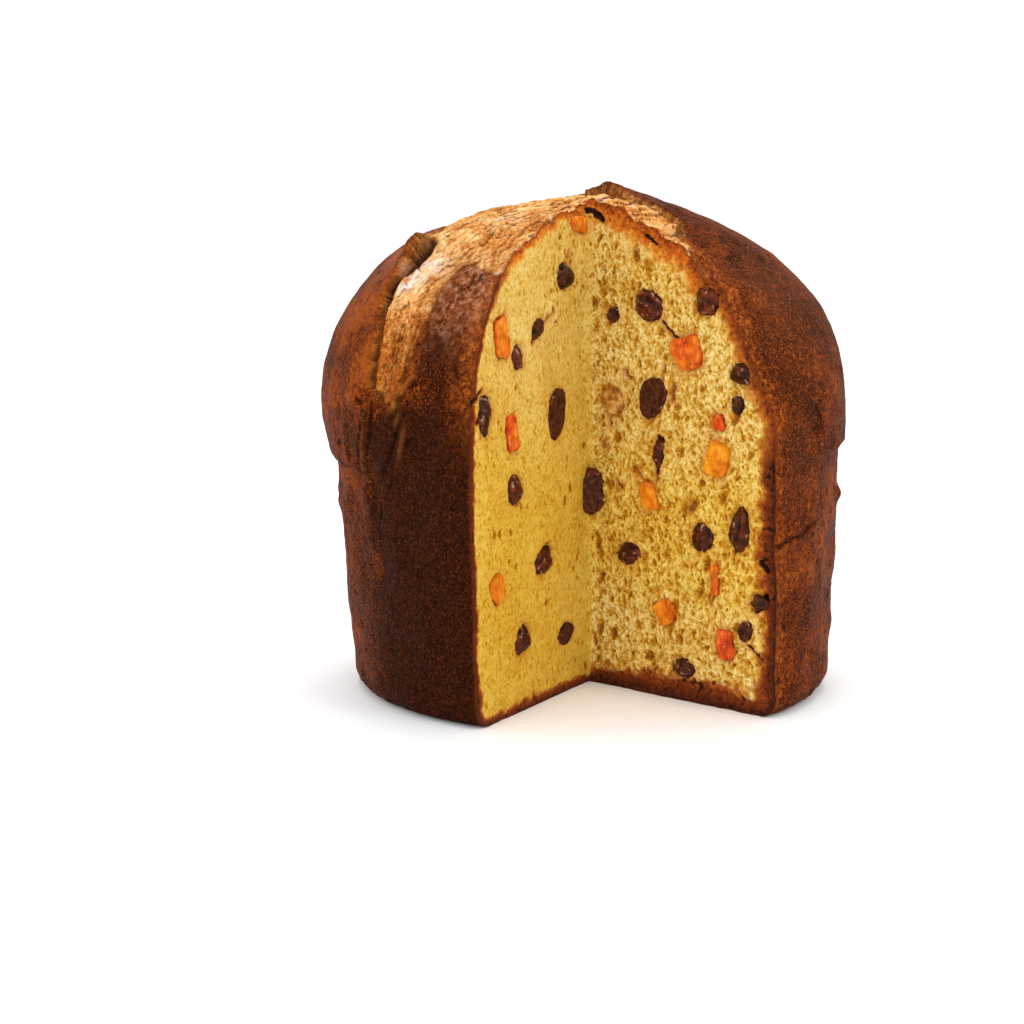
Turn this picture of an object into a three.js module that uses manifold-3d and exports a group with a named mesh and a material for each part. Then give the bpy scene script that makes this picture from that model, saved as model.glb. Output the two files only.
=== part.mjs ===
// Panettone with one wedge cut out: a tall drum of enriched bread with a domed top,
// raisins and candied peel showing on the two cut faces.
// Millimetres, +Z up. Origin: centre of the flat underside, on the loaf's axis.
// The cut-out opens towards -Y. Angles t are measured from -Y towards +X.
import * as THREE from 'three';
import * as BufferGeometryUtils from 'three/addons/utils/BufferGeometryUtils.js';
import Module from 'manifold-3d';

const wasm = await Module();
wasm.setup();

// ---------------------------------------------------------------- driving sizes
const DEG = Math.PI / 180;
const BASE_R = 75.4;        // radius of the side just above the rounded bottom edge
const CORNER_R = 6.5;       // bottom edge rounding
const NECK_R = 78.9;        // side radius just under the dome's overhang
const NECK_Z = 75.5;        // height of the overhang (the baking case's rim)
const LIP_OUT = 2.5;        // step out of the overhang
const LIP_UP = 1.6;         // height of that step
const DOME_R = 82.8;        // widest radius of the dome
const DOME_MAX_UP = 15;     // its height above the overhang
const DOME_N = 2.17;        // fullness of the dome (2 = ellipse, more = squarer)
const TOP_Z = 154;          // crust height on the axis
const CUT_APEX = 4;         // the two cut planes meet this far in front of the axis
const CUT_HALF = 38.35;     // half angle between the cut planes, degrees
const GAP = 0.3;            // air between the crumb and what is baked into it
const SEGMENTS = 64;        // round the loaf

// ---------------------------------------------------------------- outer shape
const bell = (t, centre, width) => {
  let d = (t - centre * DEG + Math.PI) % (2 * Math.PI);
  if (d < 0) d += 2 * Math.PI;
  d -= Math.PI;
  return Math.exp(-0.5 * (d / (width * DEG)) ** 2);
};
// The loaf rose a little unevenly, so each size varies round it.
const baseR = (t) => BASE_R + 0.5 * Math.cos(2 * (t - 20 * DEG)) + 0.35 * Math.cos(3 * t + 1.1)
  + 1.5 * bell(t, 36, 13) + 1.4 * bell(t, 79, 24);
const neckR = (t) => NECK_R + 0.4 * Math.cos(t + 101 * DEG) + 0.3 * Math.sin(3 * t + 0.5)
  - 3.4 * bell(t, 36, 13) + 1.2 * bell(t, 79, 24);
const neckZ = (t) => NECK_Z - 2.8 * bell(t, -101, 40) + 1.5 * bell(t, -40, 15)
  + 3.2 * bell(t, 79, 26) + 0.8 * Math.sin(3 * t);
const lipOut = (t) => LIP_OUT - 2.1 * bell(t, -40, 20) - 2.2 * bell(t, 40, 20) + 0.4 * Math.sin(2 * t + 1);
const domeR = (t) => DOME_R - 1.3 * Math.cos(t - 79 * DEG) + 0.5 * Math.sin(3 * t + 0.7)
  - 6.4 * bell(t, 34, 19) - 4.2 * bell(t, -38, 20) + 0.7 * bell(t, 79, 26) - 0.4 * bell(t, -101, 30);
const domeUp = (t) => DOME_MAX_UP - 6 * bell(t, 36, 20) - 6 * bell(t, -40, 20);
const domeN = (t) => DOME_N - 0.22 * Math.cos(t - 79 * DEG) - 0.28 * bell(t, 34, 19) + 0.2 * bell(t, -38, 20)
  + 0.16 * bell(t, 79, 34) - 0.1 * bell(t, -101, 32);

// v runs up the outline: 0-1 underside, 1-2 bottom edge, 2-3 side, 3-3.25 overhang,
// 3.25-4 swelling, 4-5 dome.
function outline(t, v) {
  const Rn = neckR(t), zn = neckZ(t), lp = lipOut(t), Rd = domeR(t), Rb = baseR(t);
  const zMax = zn + domeUp(t), zLip = zn + LIP_UP, Rl = Rn + lp;
  if (v < 1) return [v * (Rb - CORNER_R), 0];
  if (v < 2) {
    const a = (v - 1) * Math.PI / 2;
    return [Rb - CORNER_R + CORNER_R * Math.sin(a), CORNER_R * (1 - Math.cos(a))];
  }
  if (v < 3) return [Rb + (Rn - Rb) * (v - 2), CORNER_R + (zn - CORNER_R) * (v - 2)];
  if (v < 3.25) {
    const s = (v - 3) / 0.25;
    return [Rn + lp * s, zn + LIP_UP * s ** 1.5];
  }
  if (v < 4) {
    const s = (v - 3.25) / 0.75;
    return [Rd - (Rd - Rl) * (1 - s) ** 2, zLip + (zMax - zLip) * s];
  }
  const a = Math.min(v - 4, 1) * Math.PI / 2, n = domeN(t);
  return [Rd * Math.max(Math.cos(a), 0) ** (2 / n), zMax + (TOP_Z - zMax) * Math.sin(a) ** (2 / n)];
}

// The dome tore open along a band on its front left; one lip of the tear stands up.
const TEAR = [[-14, -14, 153], [-30, -26, 148], [-44, -31, 142], [-57, -32, 135], [-64, -34, 124], [-66.5, -41, 108]];
const TEAR_WIDTH = 9, TEAR_DEPTH = 1.3;
const EAR = [[-52, -14, 143], [-57, -17, 139.5], [-62, -19.5, 135], [-67, -21, 130], [-70, -26, 122]];
const EAR_WIDTH = 4, EAR_HEIGHT = 2.8;
// the shoulder right of the cut is flatter: how much lower, at what radius, how far from it
const SHOULDER_DIP = 9, SHOULDER_R = 68, SHOULDER_WIDTH = 8;
const distanceTo = (path, p) => {
  let best = Infinity;
  const q = new THREE.Vector3(), s = new THREE.Line3(new THREE.Vector3(), new THREE.Vector3());
  for (let i = 0; i + 1 < path.length; i++) {
    s.start.fromArray(path[i]);
    s.end.fromArray(path[i + 1]);
    s.closestPointToPoint(p, true, q);
    best = Math.min(best, q.distanceTo(p));
  }
  return best;
};

function surfacePoint(t, v) {
  const [r, z] = outline(t, v);
  const p = new THREE.Vector3(r * Math.sin(t), -r * Math.cos(t), z);
  const high = THREE.MathUtils.clamp((z - 95) / 30, 0, 1);
  p.z += high * 3 * Math.exp(-((p.x - 11) ** 2 + (p.y - 13) ** 2) / (2 * 16 ** 2));
  p.z -= THREE.MathUtils.clamp((z - 86) / 14, 0, 1) * SHOULDER_DIP * bell(t, 38, 14) * Math.exp(-(((r - SHOULDER_R) / SHOULDER_WIDTH) ** 2));
  if (z > 95) {
    const out = new THREE.Vector3(p.x, p.y, (p.z - 60) * 0.9).normalize();
    const tear = -TEAR_DEPTH * Math.exp(-((distanceTo(TEAR, p) / TEAR_WIDTH) ** 2));
    const ear = EAR_HEIGHT * Math.exp(-((distanceTo(EAR, p) / EAR_WIDTH) ** 2));
    p.addScaledVector(out, tear + ear);
  }
  return p;
}

const ROWS = [0.5, 1, 1.33, 1.66, 2, 2.2, 2.4, 2.6, 2.8, 3, 3.25, 3.45, 3.7,
  4, 4.08, 4.16, 4.24, 4.32, 4.4, 4.48, 4.56, 4.64, 4.72, 4.8, 4.88, 4.95];

function drum() {
  const pos = [0, 0, 0], tri = [], n = SEGMENTS;
  for (const v of ROWS) {
    for (let i = 0; i < n; i++) {
      const p = surfacePoint((i / n) * 2 * Math.PI, v);
      pos.push(p.x, p.y, p.z);
    }
  }
  const top = surfacePoint(0, 5);
  pos.push(top.x, top.y, top.z);
  const last = pos.length / 3 - 1, at = (row, i) => 1 + row * n + (i % n);
  for (let i = 0; i < n; i++) {
    tri.push(0, at(0, i + 1), at(0, i));
    for (let row = 0; row + 1 < ROWS.length; row++) {
      tri.push(at(row, i), at(row, i + 1), at(row + 1, i + 1));
      tri.push(at(row, i), at(row + 1, i + 1), at(row + 1, i));
    }
    tri.push(at(ROWS.length - 1, i), at(ROWS.length - 1, i + 1), last);
  }
  const g = new THREE.BufferGeometry();
  g.setAttribute('position', new THREE.Float32BufferAttribute(pos, 3));
  g.setIndex(tri);
  return g;
}

// ---------------------------------------------------------------- solids
function toSolid(geometry) {
  let g = geometry.clone();
  g.deleteAttribute('normal');
  g.deleteAttribute('uv');
  g = BufferGeometryUtils.mergeVertices(g, 1e-4);
  return new wasm.Manifold(new wasm.Mesh({
    numProp: 3,
    vertProperties: new Float32Array(g.attributes.position.array),
    triVerts: new Uint32Array(g.index.array),
  }));
}
function toGeometry(solid) {
  const m = solid.getMesh();
  const g = new THREE.BufferGeometry();
  g.setAttribute('position', new THREE.Float32BufferAttribute(Float32Array.from(m.vertProperties), 3));
  g.setIndex(Array.from(m.triVerts));
  g.computeVertexNormals();
  return g;
}

// the wedge that was cut out: an upright triangular prism
function wedge() {
  const reach = 140, a = CUT_HALF * DEG;
  const shape = new THREE.Shape();
  shape.moveTo(0, -CUT_APEX);
  shape.lineTo(-reach * Math.sin(a), -CUT_APEX - reach * Math.cos(a));
  shape.lineTo(reach * Math.sin(a), -CUT_APEX - reach * Math.cos(a));
  shape.closePath();
  const g = new THREE.ExtrudeGeometry(shape, { depth: 190, bevelEnabled: false });
  g.translate(0, 0, -10);
  return g;
}

// ---------------------------------------------------------------- raisins and peel
// side -1 is the cut face on the -X side, +1 the one on the +X side. u is measured
// outwards from the line where the faces meet, z up; w, h, d are the width along the
// face, the height and the depth into the crumb; out is how far the piece stands
// proud of the face, and a flat one was sliced by the knife, level with the crumb.
const RAISIN = 'raisin', SULTANA = 'sultana', PEEL = 'peel';
const FRUIT = [
  ['raisin_left_1', RAISIN, -1, 18.4, 131.7, 9.5, 8.4, 7.5, -12, 2.2, false],
  ['raisin_left_2', RAISIN, -1, 35.1, 117.2, 7.5, 5.6, 6, 35, 0.5, true],
  ['peel_left_1', PEEL, -1, 58.0, 116.6, 8.4, 13.4, 7, 12, 0.6, true],
  ['raisin_left_3', RAISIN, -1, 47.6, 109.8, 7.2, 8.8, 6.5, 20, 1.0, false],
  ['raisin_left_4', RAISIN, -1, 67.0, 94.5, 8.0, 14.4, 7, 8, 0.9, false],
  ['raisin_left_5', RAISIN, -1, 22.7, 89.3, 10.0, 16.2, 6.5, -10, 0.4, true],
  ['peel_left_2', PEEL, -1, 50.7, 87.0, 6.6, 12.6, 6, 8, 1.0, false],
  ['raisin_left_6', RAISIN, -1, 49.5, 69.8, 9.4, 10.0, 7, 0, 1.4, false],
  ['peel_left_3', PEEL, -1, 7.0, 147.2, 12.6, 6.0, 5.5, -6, 0.8, false],
  ['raisin_left_7', RAISIN, -1, 30.5, 45.0, 12.5, 8.5, 7, 25, 1.2, false],
  ['peel_left_4', PEEL, -1, 60.5, 41.0, 8.0, 9.0, 7, 30, 0.6, true],
  ['raisin_left_8', RAISIN, -1, 44.0, 22.0, 8.5, 11.0, 7, -25, 1.2, false],
  ['raisin_left_9', RAISIN, -1, 16.5, 19.0, 9.0, 7.0, 6, 10, 0.5, true],
  ['raisin_right_1', RAISIN, 1, 23.1, 122.7, 11.6, 9.6, 8, -20, 2.4, false],
  ['raisin_right_2', RAISIN, 1, 8.6, 118.9, 5.2, 4.8, 5, 0, 0.8, false],
  ['peel_right_1', PEEL, 1, 38.2, 109.3, 12.2, 12.4, 9, 18, 1.2, false],
  ['raisin_right_3', RAISIN, 1, 25.0, 94.2, 9.6, 14.0, 6.5, -22, 0.5, true],
  ['sultana_right_1', SULTANA, 1, 8.6, 91.7, 9.4, 10.2, 7, 30, 1.4, false],
  ['raisin_right_4', RAISIN, 1, 45.6, 125.6, 9.4, 10.4, 7, 40, 1.2, false],
  ['raisin_right_5', RAISIN, 1, 58.7, 104.2, 8.0, 7.8, 6.5, 0, 1.0, false],
  ['raisin_right_6', RAISIN, 1, 57.9, 95.0, 5.2, 6.2, 5, 0, 1.0, false],
  ['peel_right_2', PEEL, 1, 50.6, 89.0, 5.6, 5.8, 5, 12, 0.8, false],
  ['peel_right_3', PEEL, 1, 50.4, 77.6, 9.2, 13.0, 8, -14, 1.2, false],
  ['raisin_right_7', RAISIN, 1, 27.2, 76.6, 3.6, 12.4, 5, -4, 0.6, false],
  ['raisin_right_8', RAISIN, 1, 44.9, 52.6, 9.0, 9.0, 7, 0, 1.4, false],
  ['raisin_right_9', RAISIN, 1, 59.2, 56.8, 8.0, 15.2, 7, -6, 1.2, false],
  ['raisin_right_10', RAISIN, 1, 66.4, 35.2, 7.0, 6.0, 5.5, 0, 0.4, false],
  ['peel_right_4', PEEL, 1, 50.2, 40.0, 3.6, 11.0, 4.5, 4, 0.7, false],
  ['peel_right_5', PEEL, 1, 54.6, 20.5, 7.8, 10.2, 6.5, 8, 1.0, false],
  ['raisin_right_11', RAISIN, 1, 62.3, 25.6, 5.4, 7.4, 5, -8, 1.0, false],
  ['raisin_right_12', RAISIN, 1, 15.5, 44.0, 9.5, 7.5, 6.5, 20, 1.2, false],
  ['peel_right_6', PEEL, 1, 31.0, 27.0, 8.0, 8.4, 7, 25, 0.6, true],
  ['raisin_right_13', RAISIN, 1, 38.5, 10.5, 9.0, 6.5, 6.5, -8, 1.0, false],
  ['peel_right_7', PEEL, 1, 23.3, 63.2, 7.4, 10.6, 6, 12, 0.5, false],
];
// one raisin lies across the inner corner where the faces meet, its front sliced flat
const CORNER_RAISIN = { z: 62.6, w: 8.8, h: 14.4, d: 7.2, forward: 2.2, flat: 1.8 };
const COLOUR = { raisin: 0x3c1710, sultana: 0xb87a2c, peel: 0xd96a1c };
const ROUGH = { raisin: 0.35, sultana: 0.4, peel: 0.3 };

// an uneven pebble (raisin) or a round-edged cube (peel) of unit half size
function fruitShape(kind, w, h, d, seed, grow) {
  const g = new THREE.IcosahedronGeometry(1, w * h > 140 ? 2 : 1);
  const p = g.attributes.position, v = new THREE.Vector3();
  for (let i = 0; i < p.count; i++) {
    v.fromBufferAttribute(p, i).normalize();
    let f = 1;
    if (kind === PEEL) f = 0.97 * (v.x ** 4 + v.y ** 4 + v.z ** 4) ** -0.25 * 0.9;
    f *= 1 + 0.05 * Math.sin(3.1 * v.x + 2.3 * v.y + seed) + 0.05 * Math.sin(2.7 * v.z - 3.3 * v.y + 1.7 * seed);
    const x = v.x * f * w / 2, y = v.y * f * h / 2, z = v.z * f * d / 2;
    const n = new THREE.Vector3(v.x / w, v.y / h, v.z / d).normalize();
    p.setXYZ(i, x + n.x * grow, y + n.y * grow, z + n.z * grow);
  }
  return g;
}

const corner = new THREE.Vector3(0, -CUT_APEX, 0);
function faceFrame(side) {
  const a = CUT_HALF * DEG;
  const along = new THREE.Vector3(side * Math.sin(a), -Math.cos(a), 0);
  const up = new THREE.Vector3(0, 0, 1);
  const out = new THREE.Vector3(-side * Math.cos(a), -Math.sin(a), 0);
  // width, height, depth axes kept right-handed
  const wide = side > 0 ? along.clone().negate() : along.clone();
  if (new THREE.Vector3().crossVectors(wide, up).dot(out) < 0) wide.negate();
  return { along, up, out, basis: new THREE.Matrix4().makeBasis(wide, up, out) };
}

const inside = new THREE.BoxGeometry(60, 60, 60);
const pieces = [], pockets = [];
FRUIT.forEach(([name, kind, side, u, z, w, h, d, tilt, out, flat], k) => {
  const f = faceFrame(side);
  const centre = corner.clone().addScaledVector(f.along, u).addScaledVector(f.up, z)
    .addScaledVector(f.out, flat ? -0.12 * d : out - d / 2);
  const m = new THREE.Matrix4().makeTranslation(centre.x, centre.y, centre.z)
    .multiply(f.basis).multiply(new THREE.Matrix4().makeRotationZ(tilt * DEG));
  let body = toSolid(fruitShape(kind, w, h, d, k, 0).applyMatrix4(m));
  if (flat) {
    const c = corner.clone().addScaledVector(f.along, u).addScaledVector(f.up, z).addScaledVector(f.out, out - 30);
    const cut = inside.clone().applyMatrix4(new THREE.Matrix4().makeTranslation(c.x, c.y, c.z).multiply(f.basis));
    body = body.intersect(toSolid(cut));
  }
  pieces.push([name, kind, body]);
  pockets.push(toSolid(fruitShape(kind, w, h, d, k, GAP).applyMatrix4(m)));
});
{
  const c = CORNER_RAISIN;
  const m = new THREE.Matrix4().makeTranslation(0, -CUT_APEX - c.forward, c.z)
    .multiply(new THREE.Matrix4().makeRotationX(Math.PI / 2)).multiply(new THREE.Matrix4().makeRotationZ(-6 * DEG));
  const behind = inside.clone().applyMatrix4(new THREE.Matrix4().makeTranslation(0, -CUT_APEX - c.forward - c.flat + 30, c.z));
  pieces.push(['raisin_corner', RAISIN, toSolid(fruitShape(RAISIN, c.w, c.h, c.d, 40, 0).applyMatrix4(m)).intersect(toSolid(behind))]);
  pockets.push(toSolid(fruitShape(RAISIN, c.w, c.h, c.d, 40, GAP).applyMatrix4(m)));
}

// ---------------------------------------------------------------- the loaf
let loaf = toSolid(drum()).subtract(toSolid(wedge()));
for (const pocket of pockets) loaf = loaf.subtract(pocket);

const group = new THREE.Group();
const bread = new THREE.Mesh(toGeometry(loaf), new THREE.MeshStandardMaterial({ color: 0x7a4320, roughness: 0.6, metalness: 0 }));
bread.name = 'loaf';
group.add(bread);
for (const [name, kind, body] of pieces) {
  const mesh = new THREE.Mesh(toGeometry(body), new THREE.MeshStandardMaterial({ color: COLOUR[kind], roughness: ROUGH[kind], metalness: 0 }));
  mesh.name = name;
  group.add(mesh);
}
export default group;
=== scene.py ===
"""Looks of the cut panettone: baked crust, open crumb, raisins and candied peel.

All shapes are worked out in millimetres in the row frame and scaled to metres when a mesh is made.
The outline and the places of the fruit are the same functions and sizes as the solids'.
"""
import math

import bmesh
import bpy
import numpy as np
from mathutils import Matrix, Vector
from mathutils.geometry import delaunay_2d_cdt


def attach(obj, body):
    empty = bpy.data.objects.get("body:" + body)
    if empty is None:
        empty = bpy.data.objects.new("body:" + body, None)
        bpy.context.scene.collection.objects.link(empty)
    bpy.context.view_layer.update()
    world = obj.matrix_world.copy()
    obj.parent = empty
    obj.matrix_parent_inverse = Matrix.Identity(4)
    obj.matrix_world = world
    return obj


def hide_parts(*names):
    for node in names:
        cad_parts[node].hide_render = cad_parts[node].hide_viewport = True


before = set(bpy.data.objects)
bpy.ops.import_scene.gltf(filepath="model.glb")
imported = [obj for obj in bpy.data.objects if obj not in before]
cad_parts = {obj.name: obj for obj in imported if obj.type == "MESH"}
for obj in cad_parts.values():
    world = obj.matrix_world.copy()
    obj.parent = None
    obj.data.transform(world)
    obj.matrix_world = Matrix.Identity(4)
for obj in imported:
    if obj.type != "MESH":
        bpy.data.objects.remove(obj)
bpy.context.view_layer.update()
DEG = math.pi / 180.0

# ------------------------------------------------------------------ sizes
BASE_R, CORNER_R, NECK_R, NECK_Z = 75.4, 6.5, 78.9, 75.5
LIP_OUT, LIP_UP = 2.5, 1.6
DOME_R, DOME_MAX_UP, DOME_N, TOP_Z = 82.8, 15.0, 2.17, 154.0
CUT_APEX, CUT_HALF = 4.0, 38.35
CAMERA_AT = (-0.1596, -0.8208, 0.2029)
CAMERA_PITCH, CAMERA_YAW, CAMERA_LENS = -10.056, -9.338, 93.2

# ------------------------------------------------------------------ noise
_rng = np.random.default_rng(11)
_PERM = np.concatenate([_rng.permutation(256)] * 3).astype(np.int64)
_GRAD = _rng.normal(size=(256, 3))
_GRAD = (_GRAD / np.linalg.norm(_GRAD, axis=1)[:, None]).astype(np.float32)
_RND = _rng.random((256, 3)).astype(np.float32)


def noise(p, size, seed=0.0):
    """Smooth noise at points p (N, 3), about -1 to 1, with features about size mm wide."""
    q = np.asarray(p, dtype=np.float32) / np.float32(size) + np.float32(seed * 13.17)
    i = np.floor(q).astype(np.int64)
    f = (q - i).astype(np.float32)
    u = f * f * f * (f * (f * 6 - 15) + 10)
    x, y, z = i[:, 0] & 255, i[:, 1] & 255, i[:, 2] & 255

    def corner(dx, dy, dz):
        h = _PERM[_PERM[_PERM[x + dx] + y + dy] + z + dz]
        g = _GRAD[h]
        return g[:, 0] * (f[:, 0] - dx) + g[:, 1] * (f[:, 1] - dy) + g[:, 2] * (f[:, 2] - dz)

    def mix(a, b, t):
        return a + (b - a) * t

    x00 = mix(corner(0, 0, 0), corner(1, 0, 0), u[:, 0])
    x10 = mix(corner(0, 1, 0), corner(1, 1, 0), u[:, 0])
    x01 = mix(corner(0, 0, 1), corner(1, 0, 1), u[:, 0])
    x11 = mix(corner(0, 1, 1), corner(1, 1, 1), u[:, 0])
    return 1.7 * mix(mix(x00, x10, u[:, 1]), mix(x01, x11, u[:, 1]), u[:, 2])


def layered(p, size, octaves, seed=0.0, gain=0.5):
    out, amp = 0.0, 1.0
    for k in range(octaves):
        out = out + amp * noise(p, size / 2 ** k, seed + 3.1 * k)
        amp *= gain
    return out


def cells(x, y, size, seed=0):
    """Distances to the nearest and second nearest of scattered points, in cell sizes, and the nearest's own number."""
    gx, gy = x / size + seed * 7.31, y / size + seed * 3.77
    ix, iy = np.floor(gx).astype(np.int64), np.floor(gy).astype(np.int64)
    f1 = np.full(x.shape, 9.0, np.float32)
    f2 = np.full(x.shape, 9.0, np.float32)
    own = np.zeros(x.shape, np.float32)
    for dx in (-1, 0, 1):
        for dy in (-1, 0, 1):
            h = _PERM[_PERM[(ix + dx) & 255] + ((iy + dy) & 255)]
            px, py = ix + dx + _RND[h, 0], iy + dy + _RND[h, 1]
            d = np.sqrt((gx - px) ** 2 + (gy - py) ** 2).astype(np.float32)
            f2 = np.minimum(f2, np.maximum(f1, d))
            own = np.where(d < f1, _RND[h, 2], own)
            f1 = np.minimum(f1, d)
    return f1, f2, own


def step(lo, hi, x):
    t = np.clip((x - lo) / (hi - lo), 0.0, 1.0)
    return t * t * (3 - 2 * t)


def bell(t, centre, width):
    d = (t - centre * DEG + np.pi) % (2 * np.pi) - np.pi
    return np.exp(-0.5 * (d / (width * DEG)) ** 2)


# ------------------------------------------------------------------ outline, as the solids have it
def base_r(t):
    return BASE_R + 0.5 * np.cos(2 * (t - 20 * DEG)) + 0.35 * np.cos(3 * t + 1.1) + 1.5 * bell(t, 36, 13) + 1.4 * bell(t, 79, 24)


def neck_r(t):
    return NECK_R + 0.4 * np.cos(t + 101 * DEG) + 0.3 * np.sin(3 * t + 0.5) - 3.4 * bell(t, 36, 13) + 1.2 * bell(t, 79, 24)


def neck_z(t):
    return NECK_Z - 2.8 * bell(t, -101, 40) + 1.5 * bell(t, -40, 15) + 3.2 * bell(t, 79, 26) + 0.8 * np.sin(3 * t)


def lip_out(t):
    return LIP_OUT - 2.1 * bell(t, -40, 20) - 2.2 * bell(t, 40, 20) + 0.4 * np.sin(2 * t + 1)


def dome_r(t):
    return (DOME_R - 1.3 * np.cos(t - 79 * DEG) + 0.5 * np.sin(3 * t + 0.7)
            - 6.4 * bell(t, 34, 19) - 4.2 * bell(t, -38, 20) + 0.7 * bell(t, 79, 26) - 0.4 * bell(t, -101, 30))


def dome_up(t):
    return DOME_MAX_UP - 6 * bell(t, 36, 20) - 6 * bell(t, -40, 20)


def dome_n(t):
    return (DOME_N - 0.22 * np.cos(t - 79 * DEG) - 0.28 * bell(t, 34, 19) + 0.2 * bell(t, -38, 20)
            + 0.16 * bell(t, 79, 34) - 0.1 * bell(t, -101, 32))


def lump(x, y, z):
    return np.clip((z - 95) / 30, 0, 1) * 3.0 * np.exp(-((x - 11) ** 2 + (y - 13) ** 2) / (2 * 16 ** 2))


def wall(t, v):
    """Radius and height for v from 2 (top of the bottom edge) to 4 (widest line of the dome)."""
    Rn, zn, lp, Rd, Rb = neck_r(t), neck_z(t), lip_out(t), dome_r(t), base_r(t)
    zm, zl, Rl = zn + dome_up(t), zn + LIP_UP, Rn + lp
    s = np.clip(v - 2, 0, 1)
    r, z = Rb + (Rn - Rb) * s, CORNER_R + (zn - CORNER_R) * s
    s = np.clip((v - 3) / 0.25, 0, 1)
    m = v >= 3
    r, z = np.where(m, Rn + lp * s ** 0.8, r), np.where(m, zn + LIP_UP * s ** 1.5, z)
    s = np.clip((v - 3.25) / 0.75, 0, 1)
    m = v >= 3.25
    r, z = np.where(m, Rd - (Rd - Rl) * (1 - s) ** 2, r), np.where(m, zl + (zm - zl) * s, z)
    return r, z


def dome_height(x, y):
    t, r = np.arctan2(x, -y), np.hypot(x, y)
    n, zm = dome_n(t), neck_z(t) + dome_up(t)
    z = zm + (TOP_Z - zm) * np.clip(1 - (r / dome_r(t)) ** n, 0, 1) ** (1 / n)
    shoulder = np.clip((z - 86) / 14, 0, 1) * 9 * bell(t, 38, 14) * np.exp(-((r - 68) / 8) ** 2)
    return z + lump(x, y, z) - shoulder


def reach(alpha, r):
    """How far from the cut's corner a ring of radius r lies, in direction alpha."""
    return -CUT_APEX * np.cos(alpha) + np.sqrt(np.maximum(r * r - (CUT_APEX * np.sin(alpha)) ** 2, 0))


def ring(alpha, v):
    """Distance from the corner and height of the outline, for v from 1 to 4."""
    t = np.array(alpha)
    for _ in range(4):
        if np.all(v < 2):
            a = np.clip(v - 1, 0, 1) * np.pi / 2
            rb = base_r(t)
            r, z = rb - CORNER_R + CORNER_R * np.sin(a), CORNER_R * (1 - np.cos(a)) + 0 * t
        else:
            r, z = wall(t, v)
        rho = reach(alpha, r)
        x, y = rho * np.sin(alpha), -CUT_APEX - rho * np.cos(alpha)
        t = np.arctan2(x, -y)
    return rho, z


COLS = 576            # columns over the crust's 283 degrees
ROWS_FLAT = np.concatenate([np.linspace(0.0, 0.86, 22), [0.9, 0.935, 0.965, 0.985]])
ROWS_EDGE = np.linspace(1, 2, 14)
ROWS_SIDE = np.linspace(2, 3, 96)[1:]
ROWS_LIP = np.concatenate([np.linspace(3, 3.25, 6)[1:], np.linspace(3.25, 4, 21)[1:]])
ROWS_DOME = np.linspace(0, 1, 168)[1:]


def crust_grid():
    """(rows, columns, 3) points of the outer surface, from the underside up to the top."""
    a = np.linspace(CUT_HALF, 360 - CUT_HALF, COLS + 1) * DEG
    rows = []
    rho1, _ = ring(a, np.full_like(a, 1.0))
    for v in ROWS_FLAT:
        rows.append((rho1 * v, np.zeros_like(a)))
    for v in np.concatenate([ROWS_EDGE, ROWS_SIDE, ROWS_LIP]):
        rows.append(ring(a, np.full_like(a, v)))
    rho4, _ = rows[-1]
    for v in ROWS_DOME:
        rows.append((rho4 * math.cos(v * math.pi / 2) ** (2 / 2.17), None))
    P = np.zeros((len(rows), len(a), 3))
    for k, (rho, z) in enumerate(rows):
        P[k, :, 0] = rho * np.sin(a)
        P[k, :, 1] = -CUT_APEX - rho * np.cos(a)
        P[k, :, 2] = dome_height(P[k, :, 0], P[k, :, 1]) if z is None else z
    return P


def grid_normals(P):
    du = np.gradient(P, axis=1)
    dv = np.gradient(P, axis=0)
    n = np.cross(du, dv)
    length = np.linalg.norm(n, axis=2, keepdims=True)
    n = n / np.maximum(length, 1e-9)
    out = P - np.array([0, 0, 60.0])
    flip = np.sum(n * out, axis=2, keepdims=True) < 0
    n = np.where(flip, -n, n)
    n[0] = (0, 0, -1)
    n[-1] = (0, 0, 1)
    return n


# ------------------------------------------------------------------ lines that the crust's marks follow
# The dome tore open over its front and top. TORN_LOW, FLAP, LOBE and the cut bound the torn band; the old crust stands
# up as a flap along FLAP and as a lobe along LOBE.
TORN_LOW = [[-33.0, -50.5, 136.5], [-36.9, -48.7, 135.5], [-40.6, -45.1, 136.0], [-44.7, -38.9, 137.8], [-49.2, -39.8, 134.3],
            [-53.9, -41.4, 129.1], [-56.8, -43.6, 123.7], [-60.4, -44.7, 116.6], [-63.1, -45.8, 108.2], [-65.2, -46.2, 99.8], [-67.0, -44.5, 93.0]]
FLAP = [[-24.0, 40.0, 146.0], [-38.0, 30.0, 145.0], [-47.0, 14.0, 144.5], [-51.5, 0.0, 143.5], [-52.5, -10.0, 142.8], [-54.6, -15.2, 141.3], [-57.2, -17.8, 139.0],
        [-60.6, -19.4, 136.0], [-63.9, -20.4, 132.8], [-66.9, -20.8, 129.6], [-68.7, -22.0, 127.0], [-69.6, -24.6, 124.0], [-70.6, -28.6, 118.7], [-72.0, -30.6, 113.8],
        [-73.6, -31.6, 107.5], [-74.6, -33.0, 100.5]]
FLAP_RISE = [0.2, 0.2, 0.2, 0.4, 2.0, 6.2, 6.8, 5.0, 3.5, 2.5, 1.9, 1.5, 1.1, 0.9, 0.8, 0.5]
LOBE = [[-24.0, 40.0, 146.0], [-12.0, 36.0, 149.5], [0.0, 22.0, 154.5], [5.0, 10.0, 156.2], [7.0, 2.0, 156.0], [10.0, -4.0, 154.8], [14.9, -7.5, 153.2],
        [18.7, -10.9, 151.6], [21.7, -14.6, 149.4], [24.5, -18.2, 147.1], [24.6, -23.3, 144.3], [24.2, -28.5, 141.5], [25.2, -32.0, 138.6]]
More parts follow.
